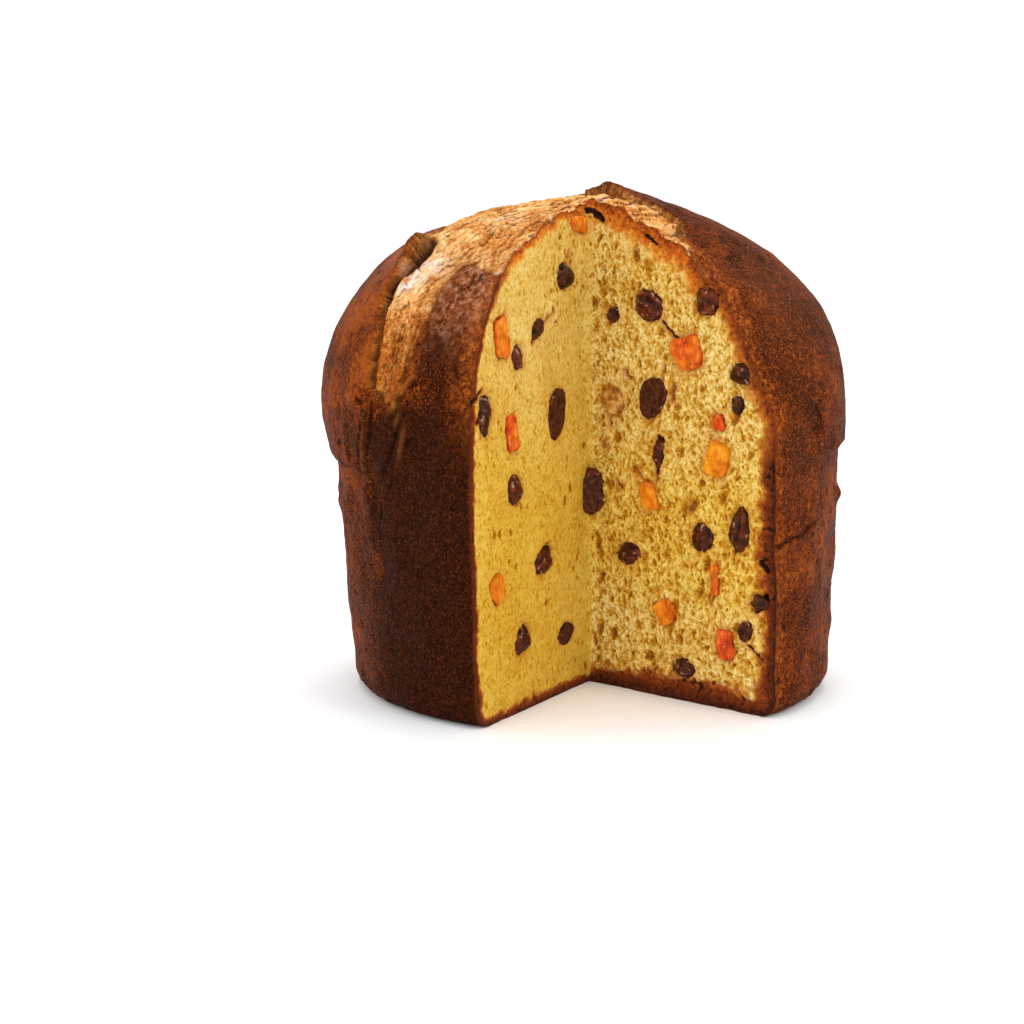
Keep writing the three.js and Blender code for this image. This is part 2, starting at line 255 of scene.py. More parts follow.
LOBE_RISE = [0.3, 0.4, 0.8, 2.6, 3.4, 2.0, 0.9, 0.6, 0.7, 0.6, 0.4, 0.3, 0.1]
# cracks and ridges: 3-D points, width, depth (less than 0 is a ridge), how much painted shade goes in the crack
CREASES = [
    ([[-54.2, -29.5, 136.5], [-52.8, -30.5, 137.3], [-49.2, -31.3, 139.2], [-46.1, -32.3, 140.5], [-43.4, -32.1, 142.0], [-41.5, -32.3, 142.8]], 0.6, 1.7, 1.0),
    ([[-37.2, -15.0, 148.9], [-36.0, -22.5, 147.8], [-35.6, -29.9, 145.9], [-38.1, -32.0, 144.3]], 0.5, 1.2, 0.8),
    ([[-25.5, -21.1, 150.7], [-31.7, -21.4, 149.3], [-35.8, -28.5, 146.3], [-39.4, -33.0, 143.4], [-43.3, -32.7, 141.7], [-48.4, -33.9, 138.4], [-53.4, -30.2, 137.0]], 0.5, 1.3, 0.8),
    ([[-28.4, -40.5, 144.0], [-32.2, -46.8, 139.0], [-36.4, -49.2, 135.4]], 0.6, 0.9, 0.5),
    ([[-12.1, -14.9, 153.4], [-18.2, -27.4, 150.6], [-23.3, -28.2, 149.6], [-28.2, -32.5, 147.3]], 0.5, 1.1, 0.7),
    ([[-46.2, -17.3, 145.2], [-49.7, -19.6, 143.0], [-54.1, -21.3, 140.1]], 0.5, 1.0, 0.7),
    ([[-58.9, -39.0, 126.0], [-61.2, -39.8, 122.3], [-65.3, -39.2, 116.3], [-66.9, -39.4, 112.5]], 0.6, -0.8, 0.0),
    ([[-55.5, -34.5, 132.6], [-51.8, -35.6, 135.2], [-47.5, -36.5, 137.5], [-43.2, -37.5, 139.4], [-38.5, -38.0, 141.6]], 0.5, 1.2, 0.75),
    ([[-60.5, -33.5, 127.5], [-57.0, -33.0, 131.5], [-52.0, -33.0, 136.0]], 0.5, 1.0, 0.6),
    ([[-27.0, -20.0, 151.0], [-19.0, -22.0, 152.0], [-12.0, -20.5, 153.0]], 0.5, 0.8, 0.45),
    ([[-60.3, -48.8, 108.1], [-62.8, -47.3, 104.3], [-65.5, -45.0, 101.4], [-68.5, -42.0, 98.9], [-71.6, -38.0, 97.5]], 1.0, -0.7, 0.0),
    ([[-61.0, -49.2, 105.4], [-63.9, -47.2, 101.7], [-66.3, -45.0, 99.0], [-69.0, -41.5, 96.6]], 0.8, 0.8, 0.5),
    ([[-65.6, -45.9, 95.9], [-66.7, -45.0, 92.4], [-67.2, -44.0, 88.0]], 0.9, -0.6, 0.0),
    ([[-72.8, -34.6, 98.0], [-73.4, -35.8, 94.3], [-73.9, -35.2, 88.4], [-75.1, -31.1, 78.3]], 0.9, 0.9, 0.55),
    ([[-66.2, -46.0, 92.0], [-67.2, -44.5, 88.3], [-68.8, -42.1, 81.1], [-70.4, -37.4, 72.6], [-71.0, -34.5, 62.0], [-71.2, -33.0, 48.0]], 0.7, 0.7, 0.6),
    ([[-64.5, -47.6, 92.0], [-65.5, -46.2, 86.0], [-66.8, -44.4, 78.0]], 0.9, -0.45, 0.0),
    ([[-77.6, -27.5, 96.6], [-76.8, -29.5, 95.9], [-74.8, -33.3, 95.6]], 0.8, 1.5, 1.0),
    ([[-76.4, -30.9, 88.8], [-76.3, -29.3, 79.8], [-75.9, -21.8, 69.3]], 0.8, 0.8, 0.45),
    ([[-75.2, -32.4, 90.8], [-75.6, -31.0, 82.0], [-75.0, -28.0, 72.0]], 0.9, -0.5, 0.0),
    ([[-80.2, -23.9, 93.5], [-79.7, -23.6, 87.5], [-78.9, -22.6, 79.1], [-77.7, -17.4, 68.3]], 0.9, 1.0, 0.5),
    ([[-72.8, -31.6, 110.6], [-73.5, -33.5, 103.5], [-74.4, -34.6, 97.5]], 0.7, 1.3, 0.9),
    ([[-70.0, -38.0, 104.0], [-71.0, -37.5, 99.0]], 0.6, 1.0, 0.9),
    ([[-66.0, -38.5, 117.5], [-68.2, -39.6, 109.0], [-69.5, -40.2, 101.0]], 0.7, 0.7, 0.35),
    ([[-64.0, -41.5, 118.0], [-66.2, -43.2, 108.0], [-67.5, -43.0, 100.0], [-69.6, -40.0, 90.0]], 0.8, -0.5, 0.0),
    ([[-47.8, -48.8, 129.0], [-50.0, -49.0, 126.0], [-53.5, -48.5, 121.5]], 1.1, -0.6, 0.0),
    ([[-46.5, -50.5, 127.6], [-49.0, -50.5, 124.8]], 0.9, 0.7, 0.45),
    ([[44.0, -62.2, 53.0], [50.9, -56.5, 54.6], [55.8, -52.0, 55.4], [60.0, -47.7, 58.0], [64.3, -42.5, 60.5]], 0.65, 1.1, 0.9),
    ([[59.8, -46.7, 96.4], [61.1, -46.9, 91.8], [63.4, -45.2, 86.7], [63.9, -44.7, 82.0]], 0.6, 1.1, 0.8),
    ([[41.4, -61.4, 94.8], [45.3, -58.0, 95.9], [49.5, -54.0, 98.2]], 0.45, 1.3, 1.0),
    ([[36.0, -58.8, 108.0], [37.5, -56.5, 108.7], [39.5, -54.3, 109.6]], 0.4, 0.8, 0.8),
    ([[46.0, -60.0, 67.3], [48.1, -58.4, 67.9], [50.7, -56.3, 66.6]], 0.5, 0.7, 0.8),
    ([[34.5, -55.2, 115.2], [38.6, -55.1, 111.2], [40.3, -57.6, 105.7]], 0.5, 0.4, 0.4),
    ([[70.0, -33.0, 62.0], [73.0, -27.0, 64.0], [76.5, -14.0, 63.0]], 0.7, 0.8, 0.6),
]
# the same on the far side, as (angle, height)
FAR_CREASES = [
    ([(120, 96), (128, 92), (137, 94)], 0.8, 0.8), ([(150, 40), (160, 44), (172, 43)], 0.7, 0.8),
    ([(-150, 100), (-142, 104), (-134, 103)], 0.7, 0.8), ([(-170, 60), (-168, 50), (-170, 42)], 0.7, 0.6),
    ([(95, 118), (104, 122), (112, 120)], 0.7, 0.7), ([(-112, 84), (-110, 74), (-113, 60)], 0.9, 0.8),
    ([(-126, 92), (-124, 80), (-127, 68)], 1.0, 0.9), ([(-100, 90), (-99, 80), (-101, 70)], 0.9, 0.7),
    ([(170, 128), (178, 124), (-174, 126)], 0.7, 0.8), ([(108, 62), (112, 52), (110, 44)], 0.8, 0.6),
]
# bumps on the silhouette: angle, height, radius, rise
BUMPS = [(73, 62.6, 2.6, 1.5), (73, 44, 6.5, 0.9), (76, 20, 3.5, 1.0), (-50, 26, 5, 0.8), (150, 64, 4, 1.2), (-140, 30, 5, 1.0),
         (100, 30, 4, 1.0), (62, 70, 6, -0.8), (-96, 60, 5, 0.9), (-45, 121, 5, -1.2), (-44, 131.5, 4.5, -1.3), (-41, 127, 4, 0.8),
         (-66, 93, 4.5, 1.2), (-72, 96.5, 3.5, 0.8), (46, 128, 5, 0.6), (-24, 126, 6, 0.8)]


def to_path(P, path):
    """Distance from points to a polyline, place along it (0 to its number of legs), and the nearest point."""
    best = np.full(len(P), 1e9)
    place = np.zeros(len(P))
    near = np.zeros_like(P)
    for k in range(len(path) - 1):
        a, b = path[k], path[k + 1]
        ab = b - a
        t = np.clip(((P - a) @ ab) / (ab @ ab), 0, 1)
        q = a + t[:, None] * ab
        d = np.linalg.norm(P - q, axis=1)
        m = d < best
        best[m], place[m], near[m] = d[m], k + t[m], q[m]
    return best, place, near


def on_crust(angle, height):
    """A point on the undetailed crust at that angle and height."""
    t = np.array([angle * DEG])
    zm = float(neck_z(t)[0] + dome_up(t)[0])
    if height > zm:
        n = float(dome_n(t)[0])
        r = float(dome_r(t)[0]) * max(1 - ((height - zm) / (TOP_Z - zm)) ** n, 0) ** (1 / n)
    else:
        vs = np.linspace(2, 4, 400)
        rr, zz = wall(np.full(400, t[0]), vs)
        r = float(np.interp(height, zz, rr))
    return np.array([r * math.sin(t[0]), -r * math.cos(t[0]), height])


# ------------------------------------------------------------------ fruit on the cut faces
# name, kind, face, u, z, width, height, depth, tilt, stands out, sliced flat, tone
FRUIT = [
    ("raisin_left_1", "raisin", -1, 18.4, 131.7, 9.5, 8.4, 7.5, -12, 2.2, False, 0.05),
    ("raisin_left_2", "raisin", -1, 35.1, 117.2, 7.5, 5.6, 6, 35, 0.5, True, 0.1),
    ("peel_left_1", "peel", -1, 58.0, 116.6, 8.4, 13.4, 7, 12, 0.6, True, 0.45),
    ("raisin_left_3", "raisin", -1, 47.6, 109.8, 7.2, 8.8, 6.5, 20, 1.0, False, 0.45),
    ("raisin_left_4", "raisin", -1, 67.0, 94.5, 8.0, 14.4, 7, 8, 0.9, False, 0.1),
    ("raisin_left_5", "raisin", -1, 22.7, 89.3, 10.0, 16.2, 6.5, -10, 0.4, True, 0.5),
    ("peel_left_2", "peel", -1, 50.7, 87.0, 6.6, 12.6, 6, 8, 1.0, False, 0.15),
    ("raisin_left_6", "raisin", -1, 49.5, 69.8, 9.4, 10.0, 7, 0, 1.4, False, 0.5),
    ("peel_left_3", "peel", -1, 7.0, 147.2, 12.6, 6.0, 5.5, -6, 0.8, False, 0.6),
    ("raisin_left_7", "raisin", -1, 30.5, 45.0, 12.5, 8.5, 7, 25, 1.2, False, 0.4),
    ("peel_left_4", "peel", -1, 60.5, 41.0, 8.0, 9.0, 7, 30, 0.6, True, 0.7),
    ("raisin_left_8", "raisin", -1, 44.0, 22.0, 8.5, 11.0, 7, -25, 1.2, False, 0.2),
    ("raisin_left_9", "raisin", -1, 16.5, 19.0, 9.0, 7.0, 6, 10, 0.5, True, 0.5),
    ("raisin_right_1", "raisin", 1, 23.1, 122.7, 11.6, 9.6, 8, -20, 2.4, False, 0.55),
    ("raisin_right_2", "raisin", 1, 8.6, 118.9, 5.2, 4.8, 5, 0, 0.8, False, 0.0),
    ("peel_right_1", "peel", 1, 38.2, 109.3, 12.2, 12.4, 9, 18, 1.2, False, 0.2),
    ("raisin_right_3", "raisin", 1, 25.0, 94.2, 9.6, 14.0, 6.5, -22, 0.5, True, 0.55),
    ("sultana_right_1", "sultana", 1, 8.6, 91.7, 9.4, 10.2, 7, 30, 1.4, False, 0.5),
    ("raisin_right_4", "raisin", 1, 45.6, 125.6, 9.4, 10.4, 7, 40, 1.2, False, 0.7),
    ("raisin_right_5", "raisin", 1, 58.7, 104.2, 8.0, 7.8, 6.5, 0, 1.0, False, 0.1),
    ("raisin_right_6", "raisin", 1, 57.9, 95.0, 5.2, 6.2, 5, 0, 1.0, False, 0.05),
    ("peel_right_2", "peel", 1, 50.6, 89.0, 5.6, 5.8, 5, 12, 0.8, False, 0.1),
    ("peel_right_3", "peel", 1, 50.4, 77.6, 9.2, 13.0, 8, -14, 1.2, False, 0.95),
    ("raisin_right_7", "raisin", 1, 27.2, 76.6, 3.6, 12.4, 5, -4, 0.6, False, 0.35),
    ("raisin_right_8", "raisin", 1, 44.9, 52.6, 9.0, 9.0, 7, 0, 1.4, False, 0.4),
    ("raisin_right_9", "raisin", 1, 59.2, 56.8, 8.0, 15.2, 7, -6, 1.2, False, 0.3),
    ("raisin_right_10", "raisin", 1, 66.4, 35.2, 7.0, 6.0, 5.5, 0, 0.4, False, 0.0),
    ("peel_right_4", "peel", 1, 50.2, 40.0, 3.6, 11.0, 4.5, 4, 0.7, False, 0.3),
    ("peel_right_5", "peel", 1, 54.6, 20.5, 7.8, 10.2, 6.5, 8, 1.0, False, 0.15),
    ("raisin_right_11", "raisin", 1, 62.3, 25.6, 5.4, 7.4, 5, -8, 1.0, False, 0.1),
    ("raisin_right_12", "raisin", 1, 15.5, 44.0, 9.5, 7.5, 6.5, 20, 1.2, False, 0.3),
    ("peel_right_6", "peel", 1, 31.0, 27.0, 8.0, 8.4, 7, 25, 0.6, True, 0.6),
    ("raisin_right_13", "raisin", 1, 38.5, 10.5, 9.0, 6.5, 6.5, -8, 1.0, False, 0.2),
    ("peel_right_7", "peel", 1, 23.3, 63.2, 7.4, 10.6, 6, 12, 0.5, False, 0.85),
]
CORNER_RAISIN = (62.6, 8.8, 14.4, 7.2, 2.2, 1.8)     # height, sizes, forward of the corner, flat front
A0 = np.array([0, -CUT_APEX, 0.0])
UP = np.array([0, 0, 1.0])


def face_axes(side):
    a = CUT_HALF * DEG
    along = np.array([side * math.sin(a), -math.cos(a), 0])
    out = np.array([-side * math.cos(a), -math.sin(a), 0])
    wide = -along if side > 0 else along
    if np.cross(wide, UP) @ out < 0:
        wide = -wide
    return along, out, wide


# ------------------------------------------------------------------ relief of the two cut faces
STEP = 0.15
NU, NZ = int(84 / STEP), int(162 / STEP)


class Face:
    """Height maps over one cut face: u outwards from the corner, z up, both from -2 mm."""

    def __init__(self, side):
        self.side = side
        self.along, self.out, self.wide = face_axes(side)
        u = (np.arange(NU) * STEP - 2).astype(np.float32)
        z = (np.arange(NZ) * STEP - 2).astype(np.float32)
        self.U, self.Z = np.meshgrid(u, z, indexing="ij")
        self.rng = np.random.default_rng(100 + side)
        self.h = None

    def flat(self, seed):
        p = np.stack([self.U.ravel(), self.Z.ravel(), np.full(self.U.size, seed, np.float32)], 1)
        return p

    def n(self, size, seed, su=1.0, sz=1.0, octaves=1):
        p = self.flat(0.0) * np.array([1 / su, 1 / sz, 1], np.float32)
        return layered(p, size, octaves, seed).reshape(self.U.shape)

    def scatter(self, P, count, r_lo, r_hi, power, depth, stretch, lean, rough, where=None):
        """Pores: hollows with a crisp, uneven rim, kept where deepest."""
        rng, grain = self.rng, self.grain
        us, zs = rng.uniform(-1, 82, count), rng.uniform(-1, 158, count)
        rs = r_lo * (r_hi / r_lo) ** (rng.random(count) ** power)
        st = 1 + stretch * rng.random(count)
        an = lean(us, zs) + rng.normal(0, 0.3, count)
        dp = depth * rs ** 0.8 * rng.uniform(0.7, 1.2, count)
        keep = np.ones(count, bool) if where is None else rng.random(count) < where(us, zs)
        for u0, z0, r, s, a, d in zip(us[keep], zs[keep], rs[keep], st[keep], an[keep], dp[keep]):
            ra, rb = r * math.sqrt(s), r / math.sqrt(s)
            w = int(ra * 1.35 / STEP) + 2
            i, j = int((u0 + 2) / STEP), int((z0 + 2) / STEP)
            i0, i1, j0, j1 = max(i - w, 0), min(i + w + 1, NU), max(j - w, 0), min(j + w + 1, NZ)
            if i0 >= i1 or j0 >= j1:
                continue
            du, dz = self.U[i0:i1, j0:j1] - u0, self.Z[i0:i1, j0:j1] - z0
            ca, sa = math.cos(a), math.sin(a)
            q = ((du * ca + dz * sa) / ra) ** 2 + ((dz * ca - du * sa) / rb) ** 2 + rough * grain[i0:i1, j0:j1]
            deep = d * np.clip(1 - q, 0, 1) ** 0.6
            np.maximum(P[i0:i1, j0:j1], deep, out=P[i0:i1, j0:j1])

    def sample(self, grid, u, z):
        x = np.clip((u + 2) / STEP, 0, NU - 1.001)
        y = np.clip((z + 2) / STEP, 0, NZ - 1.001)
        i, j = x.astype(int), y.astype(int)
        fx, fy = x - i, y - j
        return (grid[i, j] * (1 - fx) * (1 - fy) + grid[i + 1, j] * fx * (1 - fy)
                + grid[i, j + 1] * (1 - fx) * fy + grid[i + 1, j + 1] * fx * fy)

    def carve(self, edge_u, edge_z):
        """Fills in h (relief), pit (how deep a pore, which sets painted shade in the pores), stain, dark (painted shade
        in gaps, slits, holes and under the corner raisin, with one stain spot) and rim (1 at the crust, 0 in the
        crumb).
        """
        U, Z, side = self.U, self.Z, self.side
        self.grain = self.n(1.1, 5)
        coarse = side > 0
        # distance to the crust, on a coarse grid
        k = 5
        cu, cz = U[::k, ::k], Z[::k, ::k]
        d2 = np.full(cu.shape, 1e9)
        for a, b in zip(edge_u, edge_z):
            d2 = np.minimum(d2, (cu - a) ** 2 + (cz - b) ** 2)
        d = np.sqrt(d2)
        xi, yi = np.arange(NU) / k, np.arange(NZ) / k
        i, j = np.minimum(xi.astype(int), d.shape[0] - 2), np.minimum(yi.astype(int), d.shape[1] - 2)
        fx, fy = (xi - i)[:, None], (yi - j)[None, :]
        near = (d[np.ix_(i, j)] * (1 - fx) * (1 - fy) + d[np.ix_(i + 1, j)] * fx * (1 - fy)
                + d[np.ix_(i, j + 1)] * (1 - fx) * fy + d[np.ix_(i + 1, j + 1)] * fx * fy)
        if coarse:
            thick = 6.8 + 1.5 * step(88, 72, Z) + 2.4 * step(14, 4, Z) + 2.8 * step(46, 34, U) * step(118, 130, Z)
        else:
            thick = 2.2 + 2.6 * step(118, 138, Z) + 2.4 * step(20, 5, Z)
        thick = thick * (1 + 0.38 * self.n(7, 31) + 0.25 * self.n(2.2, 32))
        rim = np.clip(1 - near / thick, 0, 1)
        # the crust over the torn top broke rather than cut, so it is golden, not brown
        gold = step(118, 130, Z) * (step(50, 38, U) if coarse else step(62, 50, U))
        if coarse:
            gold = np.maximum(gold, 0.5 * step(74, 90, Z))
        # shape of the whole face
        if coarse:
            h = 0.6 * self.n(15, 1) + 0.45 * self.n(6, 2) + 0.30 * self.n(2.6, 3)
        else:
            h = 0.45 * self.n(24, 1) + 0.16 * self.n(8, 2) + 0.08 * self.n(2.6, 3)
            # the top inner part tore and stands proud of a smoother hollow under it
            line = 128 - 0.45 * U + 1.5 * self.n(6, 8)
            rough_part = step(-1.0, 1.2, Z - line) * step(34, 26, U)
            hollow = step(0.8, -0.6, Z - line) * step(33, 24, U) * step(70, 118, Z)
            h = h - 1.5 * hollow + 0.3 * rough_part * self.n(3, 9)
            self.rough_part = rough_part
        # pores
        P = np.zeros(U.shape, np.float32)

        def lean(us, zs):
            if coarse:
                return 1.25 + 0.5 * np.sin(us / 17 + 0.5) - 0.9 * (zs < 25) * (1 - zs / 25)
            return 1.45 + 0.25 * np.sin(zs / 21)

        w1, w2, w3 = self.n(2.1, 40), self.n(2.1, 41), self.n(1.1, 42)
        if coarse:
            # uneven sponge: small torn cells of many sizes between standing walls
            for size, stretch, seed, deep in ((1.75, 1.5, 3, 0.62), (1.05, 1.35, 9, 0.40)):
                f1, f2, own = cells(U + 0.22 * Z * (1 if size > 1.5 else -0.6) + 0.55 * size * w1 + 0.2 * w3, (Z + 0.5 * size * w2) / stretch, size, seed)
                r = 0.22 + 0.42 * own
                pore = step(1.0, 0.25, f1 / r) * (0.35 + 0.65 * own)
                P = np.maximum(P, deep * pore)
                P = P + 0.10 * size * step(0.0, 0.45, f2 - f1) * own
            self.scatter(P, 900, 0.6, 1.35, 1.6, 0.75, 1.6, lean, 0.6)
            self.scatter(P, 95, 1.2, 2.3, 1.8, 0.62, 1.4, lean, 0.5)
            self.scatter(P, 7, 2.0, 2.9, 1.0, 0.5, 0.8, lean, 0.4)
            crumbs = np.clip(self.n(1.0, 44) + 0.6 * self.n(2.4, 45), 0, 2)
            h = h + 0.42 * crumbs * step(0.25, 0.0, P)
        else:
            f1, f2, own = cells(U + 0.4 * w1 + 0.15 * w3, (Z + 0.5 * w2) / 1.9, 0.95, 3)
            pore = step(1.0, 0.3, f1 / (0.18 + 0.34 * own)) * (0.25 + 0.75 * own)
            P = np.maximum(P, 0.2 * pore)
            self.scatter(P, 800, 0.4, 0.95, 1.6, 0.34, 1.8, lean, 0.5)
            self.scatter(P, 45, 0.8, 1.6, 1.8, 0.4, 1.6, lean, 0.4)
            self.scatter(P, 1700, 0.35, 1.1, 1.4, 0.8, 1.0, lean, 0.6,
                         where=lambda us, zs: self.sample(rough_part, us, zs) * 0.9)
            crumbs = np.clip(self.n(1.0, 44), 0, 2) * (0.3 + rough_part)
            h = h + 0.22 * crumbs * step(0.2, 0.0, P)
        # pit only colours the crumb: painted shade in the pores
        pit = P / (0.85 if coarse else 0.55)
        relief = 0.14 if coarse else 0.06
        h = h - P + relief * self.n(0.8, 12)
        # painted highlight: standing crumbs are coloured lighter
        lift = np.clip(0.35 * crumbs, 0, 0.3)
        pit = pit - lift * 0.5
        stain = np.zeros(U.shape, np.float32)
        dark = np.zeros(U.shape, np.float32)
        # browned, open zone under the crust, with painted shade in its holes
        holes = step(0.35, 0.75, self.n(1.5, 15) + 0.35 * self.n(3.5, 16)) * step(0.1, 0.45, rim)
        h = h + rim * (0.5 * self.n(1.7, 14) - 0.35) - 0.7 * holes
        dark = np.maximum(dark, 0.75 * holes * (1 - 0.8 * gold) * (1.0 if coarse else 0.5))
        # fruit: the crumb dips under each piece, with a gap along part of its edge that gets painted shade
        for row in FRUIT:
            if row[2] != side:
                continue
            name, kind, _, u0, z0, w, hh, dd, tilt, out, flat, tone = row
            R = max(w, hh) * 0.5 + 5
            i0, i1 = max(int((u0 - R + 2) / STEP), 0), min(int((u0 + R + 2) / STEP), NU)
            j0, j1 = max(int((z0 - R + 2) / STEP), 0), min(int((z0 + R + 2) / STEP), NZ)
            sl = (slice(i0, i1), slice(j0, j1))
            du, dz = U[sl] - u0, Z[sl] - z0
            sgn = 1.0 if np.dot(self.wide, self.along) > 0 else -1.0
            a = tilt * DEG
            x = du * sgn * math.cos(a) + dz * math.sin(a)
            y = dz * math.cos(a) - du * sgn * math.sin(a)
            e = 4.0 if kind == "peel" else 2.0
            q = (np.abs(x / (w / 2)) ** e + np.abs(y / (hh / 2)) ** e) ** (1 / e)
            grow = (q - 1) * min(w, hh) / 2 + 0.35 * self.grain[sl]
            under = step(0.1, -0.6, grow)
            gap = np.exp(-((grow - 0.1) / 0.34) ** 2) * step(-0.15, 0.45, self.n(3.2, 21)[sl] + 0.08)
            h[sl] = h[sl] * (1 - under) - 1.3 * under - 0.6 * gap * (0.5 if flat else 1.0)
            some = step(0.1, 0.6, self.n(4.0, 22)[sl])
            # painted shade in the gap
            dark[sl] = np.maximum(dark[sl], gap * (0.2 + 0.5 * some) * (0.6 if kind == "peel" or flat else 1.0))
            stain[sl] = np.maximum(stain[sl], 0.75 * np.exp(-np.clip(grow, 0, 9) / 1.1) * (0.6 + 0.4 * self.grain[sl]))
        # the raisin that lies across the corner, with painted shade on the crumb under it
        q = np.hypot(U / 5.2, (Z - CORNER_RAISIN[0]) / 7.4)
        under = step(1.08, 0.9, q)
        dark = np.maximum(dark, 0.6 * under)
        if coarse:
            spot_q = np.hypot((U - 5.6) / 1.4, (Z - 77.8) / 2.0) + 0.3 * self.grain
            stain = np.maximum(stain, step(1.6, 0.7, spot_q))
            dark = np.maximum(dark, 0.36 * step(1.1, 0.5, spot_q))
        # slits and holes beside the fruit: u, z of both ends, half width, depth
        slits = ([(28.5, 118.5, 34.0, 113.0, 0.55, 1.8), (27.3, 82.5, 26.6, 70.5, 0.55, 1.7), (70.0, 45.5, 67.5, 47.5, 1.2, 1.6),
                  (62.5, 106.5, 66.5, 103.5, 0.35, 1.2), (71.6, 79.0, 71.8, 73.0, 0.6, 1.4), (66.0, 33.0, 69.0, 36.8, 1.5, 2.2),
                  (63.5, 21.8, 68.5, 17.5, 0.4, 1.4), (49.0, 33.0, 51.0, 42.0, 0.5, 1.0), (30.0, 105.0, 28.8, 98.0, 0.4, 1.0),
                  (7.0, 96.5, 8.0, 84.0, 0.5, 1.0), (40.0, 61.0, 42.0, 63.0, 1.3, 1.2), (33.0, 99.0, 32.5, 94.5, 1.0, 0.9),
                  (20.0, 70.0, 23.0, 67.0, 0.5, 1.3), (14.0, 101.5, 15.5, 100.0, 0.9, 1.2), (11.0, 66.5, 12.5, 65.0, 0.9, 1.2),
                  (-1.0, 151.3, 3.6, 148.4, 1.3, 2.6), (17.6, 146.4, 21.0, 144.4, 0.35, 1.0), (21.0, 144.4, 25.6, 141.9, 0.55, 1.4),
                  (9.2, 120.5, 7.6, 117.0, 1.3, 1.2), (26.8, 70.5, 26.3, 66.5, 0.45, 1.3)]
                 if coarse else
                 [(33.0, 119.5, 38.5, 113.5, 0.8, 1.4), (26.0, 121.0, 33.0, 117.5, 0.4, 0.9), (69.0, 99.0, 72.0, 93.0, 0.9, 1.6),
                  (56.0, 124.5, 56.6, 119.0, 0.4, 0.8), (60.0, 131.0, 62.0, 127.0, 0.5, 0.9), (15.0, 138.5, 16.5, 137.0, 0.8, 1.1),
                  (3.2, 151.4, -1.0, 150.8, 1.0, 2.2), (69.5, 102.0, 74.5, 99.0, 1.1, 1.8), (71.0, 96.0, 70.0, 88.5, 0.6, 1.2)])
        for ua, za, ub, zb, hw, dp in slits:
            L2 = (ub - ua) ** 2 + (zb - za) ** 2
            t = np.clip(((U - ua) * (ub - ua) + (Z - za) * (zb - za)) / L2, 0, 1)
            ds = np.hypot(U - ua - t * (ub - ua), Z - za - t * (zb - za)) + 0.35 * self.grain * min(hw, 1)
            m = step(hw * 1.2, hw * 0.5, ds)
            h = h - dp * m
            # painted shade inside the slits, darkest in the deeper ones
            dark = np.maximum(dark, m * (1.0 if dp >= 1.4 else 0.42))
            stain = np.maximum(stain, 0.8 * step(hw + 1.6, hw, ds))
        # everything settles at the crust so that crumb and crust share one edge
        # painted shade in the holes by the crust
        pit = np.maximum(pit, 0.6 * holes)
        calm = step(0.0, 1.1, near)
        h = h * (0.35 + 0.65 * calm)
        h = np.where(calm < 1, np.maximum(h, -0.5 - 2.2 * calm), h)
        self.h, self.pit, self.stain, self.dark, self.rim, self.gold = (g.astype(np.float32) for g in (h, np.clip(pit, -0.2, 1.2), stain, dark, rim, gold))
        self.near = near.astype(np.float32)


# ------------------------------------------------------------------ crust
P = crust_grid()
N = grid_normals(P)
nr, nc = P.shape[:2]
flatP, flatN = P.reshape(-1, 3), N.reshape(-1, 3)
theta = np.arctan2(flatP[:, 0], -flatP[:, 1])
height = flatP[:, 2]
rise = np.zeros(len(flatP))
lateral = np.zeros_like(flatP)
on_side = step(0.5, 5, height)

# the dome laid out flat round its top: distance down each column, turned by the column's angle
legs = np.linalg.norm(np.diff(P, axis=0), axis=2)
down = np.vstack([np.cumsum(legs[::-1], axis=0)[::-1], np.zeros((1, nc))])
col_angle = np.linspace(CUT_HALF, 360 - CUT_HALF, nc) * DEG
laid = np.stack([(down * np.sin(col_angle)).ravel(), (-down * np.cos(col_angle)).ravel()], 1)


def lay(points):
    """3-D points on the crust -> places on the laid-out dome."""
    out = []
    for p in np.asarray(points, float):
        k = np.argmin(np.sum((flatP - p) ** 2, axis=1))
        out.append(laid[k])
    return np.array(out)


def smooth_path(path, parts=6):
    """Catmull-Rom points through a path."""
    q = np.vstack([2 * path[0] - path[1], path, 2 * path[-1] - path[-2]])
    out = []
    for k in range(1, len(q) - 2):
        for t in np.arange(parts) / parts:
            a, b, c, d = q[k - 1], q[k], q[k + 1], q[k + 2]
            out.append(0.5 * (2 * b + (c - a) * t + (2 * a - 5 * b + 4 * c - d) * t * t + (3 * b - a - 3 * c + d) * t ** 3))
    return np.array(out + [path[-1]])


def to_line(M, path):
    """Distance on the laid-out dome to a path, place along it, and the side (left of its run is above 0)."""
    best = np.full(len(M), 1e9)
    place = np.zeros(len(M))
    sign = np.ones(len(M))
    for k in range(len(path) - 1):
        a, b = path[k], path[k + 1]
        ab = b - a
        t = np.clip(((M - a) @ ab) / (ab @ ab), 0, 1)
        off = M - a - t[:, None] * ab
        d = np.hypot(off[:, 0], off[:, 1])
        m = d < best
        best[m], place[m] = d[m], k + t[m]
        sign[m] = np.sign(ab[0] * off[m, 1] - ab[1] * off[m, 0])
    return best, place, sign


warp = layered(flatP, 9, 2, 41)
rise += 0.7 * noise(flatP, 26, 1) * on_side
rise += 0.30 * noise(flatP, 9, 2) * on_side
rise += 0.12 * noise(flatP, 3.2, 3) * on_side
rise += 0.06 * noise(flatP, 1.5, 4)
# shallow dimples
dimple = noise(flatP, 4.2, 5)
rise -= 0.45 * step(0.45, 0.85, dimple) * on_side
pock = noise(flatP, 1.9, 6)
rise -= 0.22 * step(0.42, 0.8, pock)
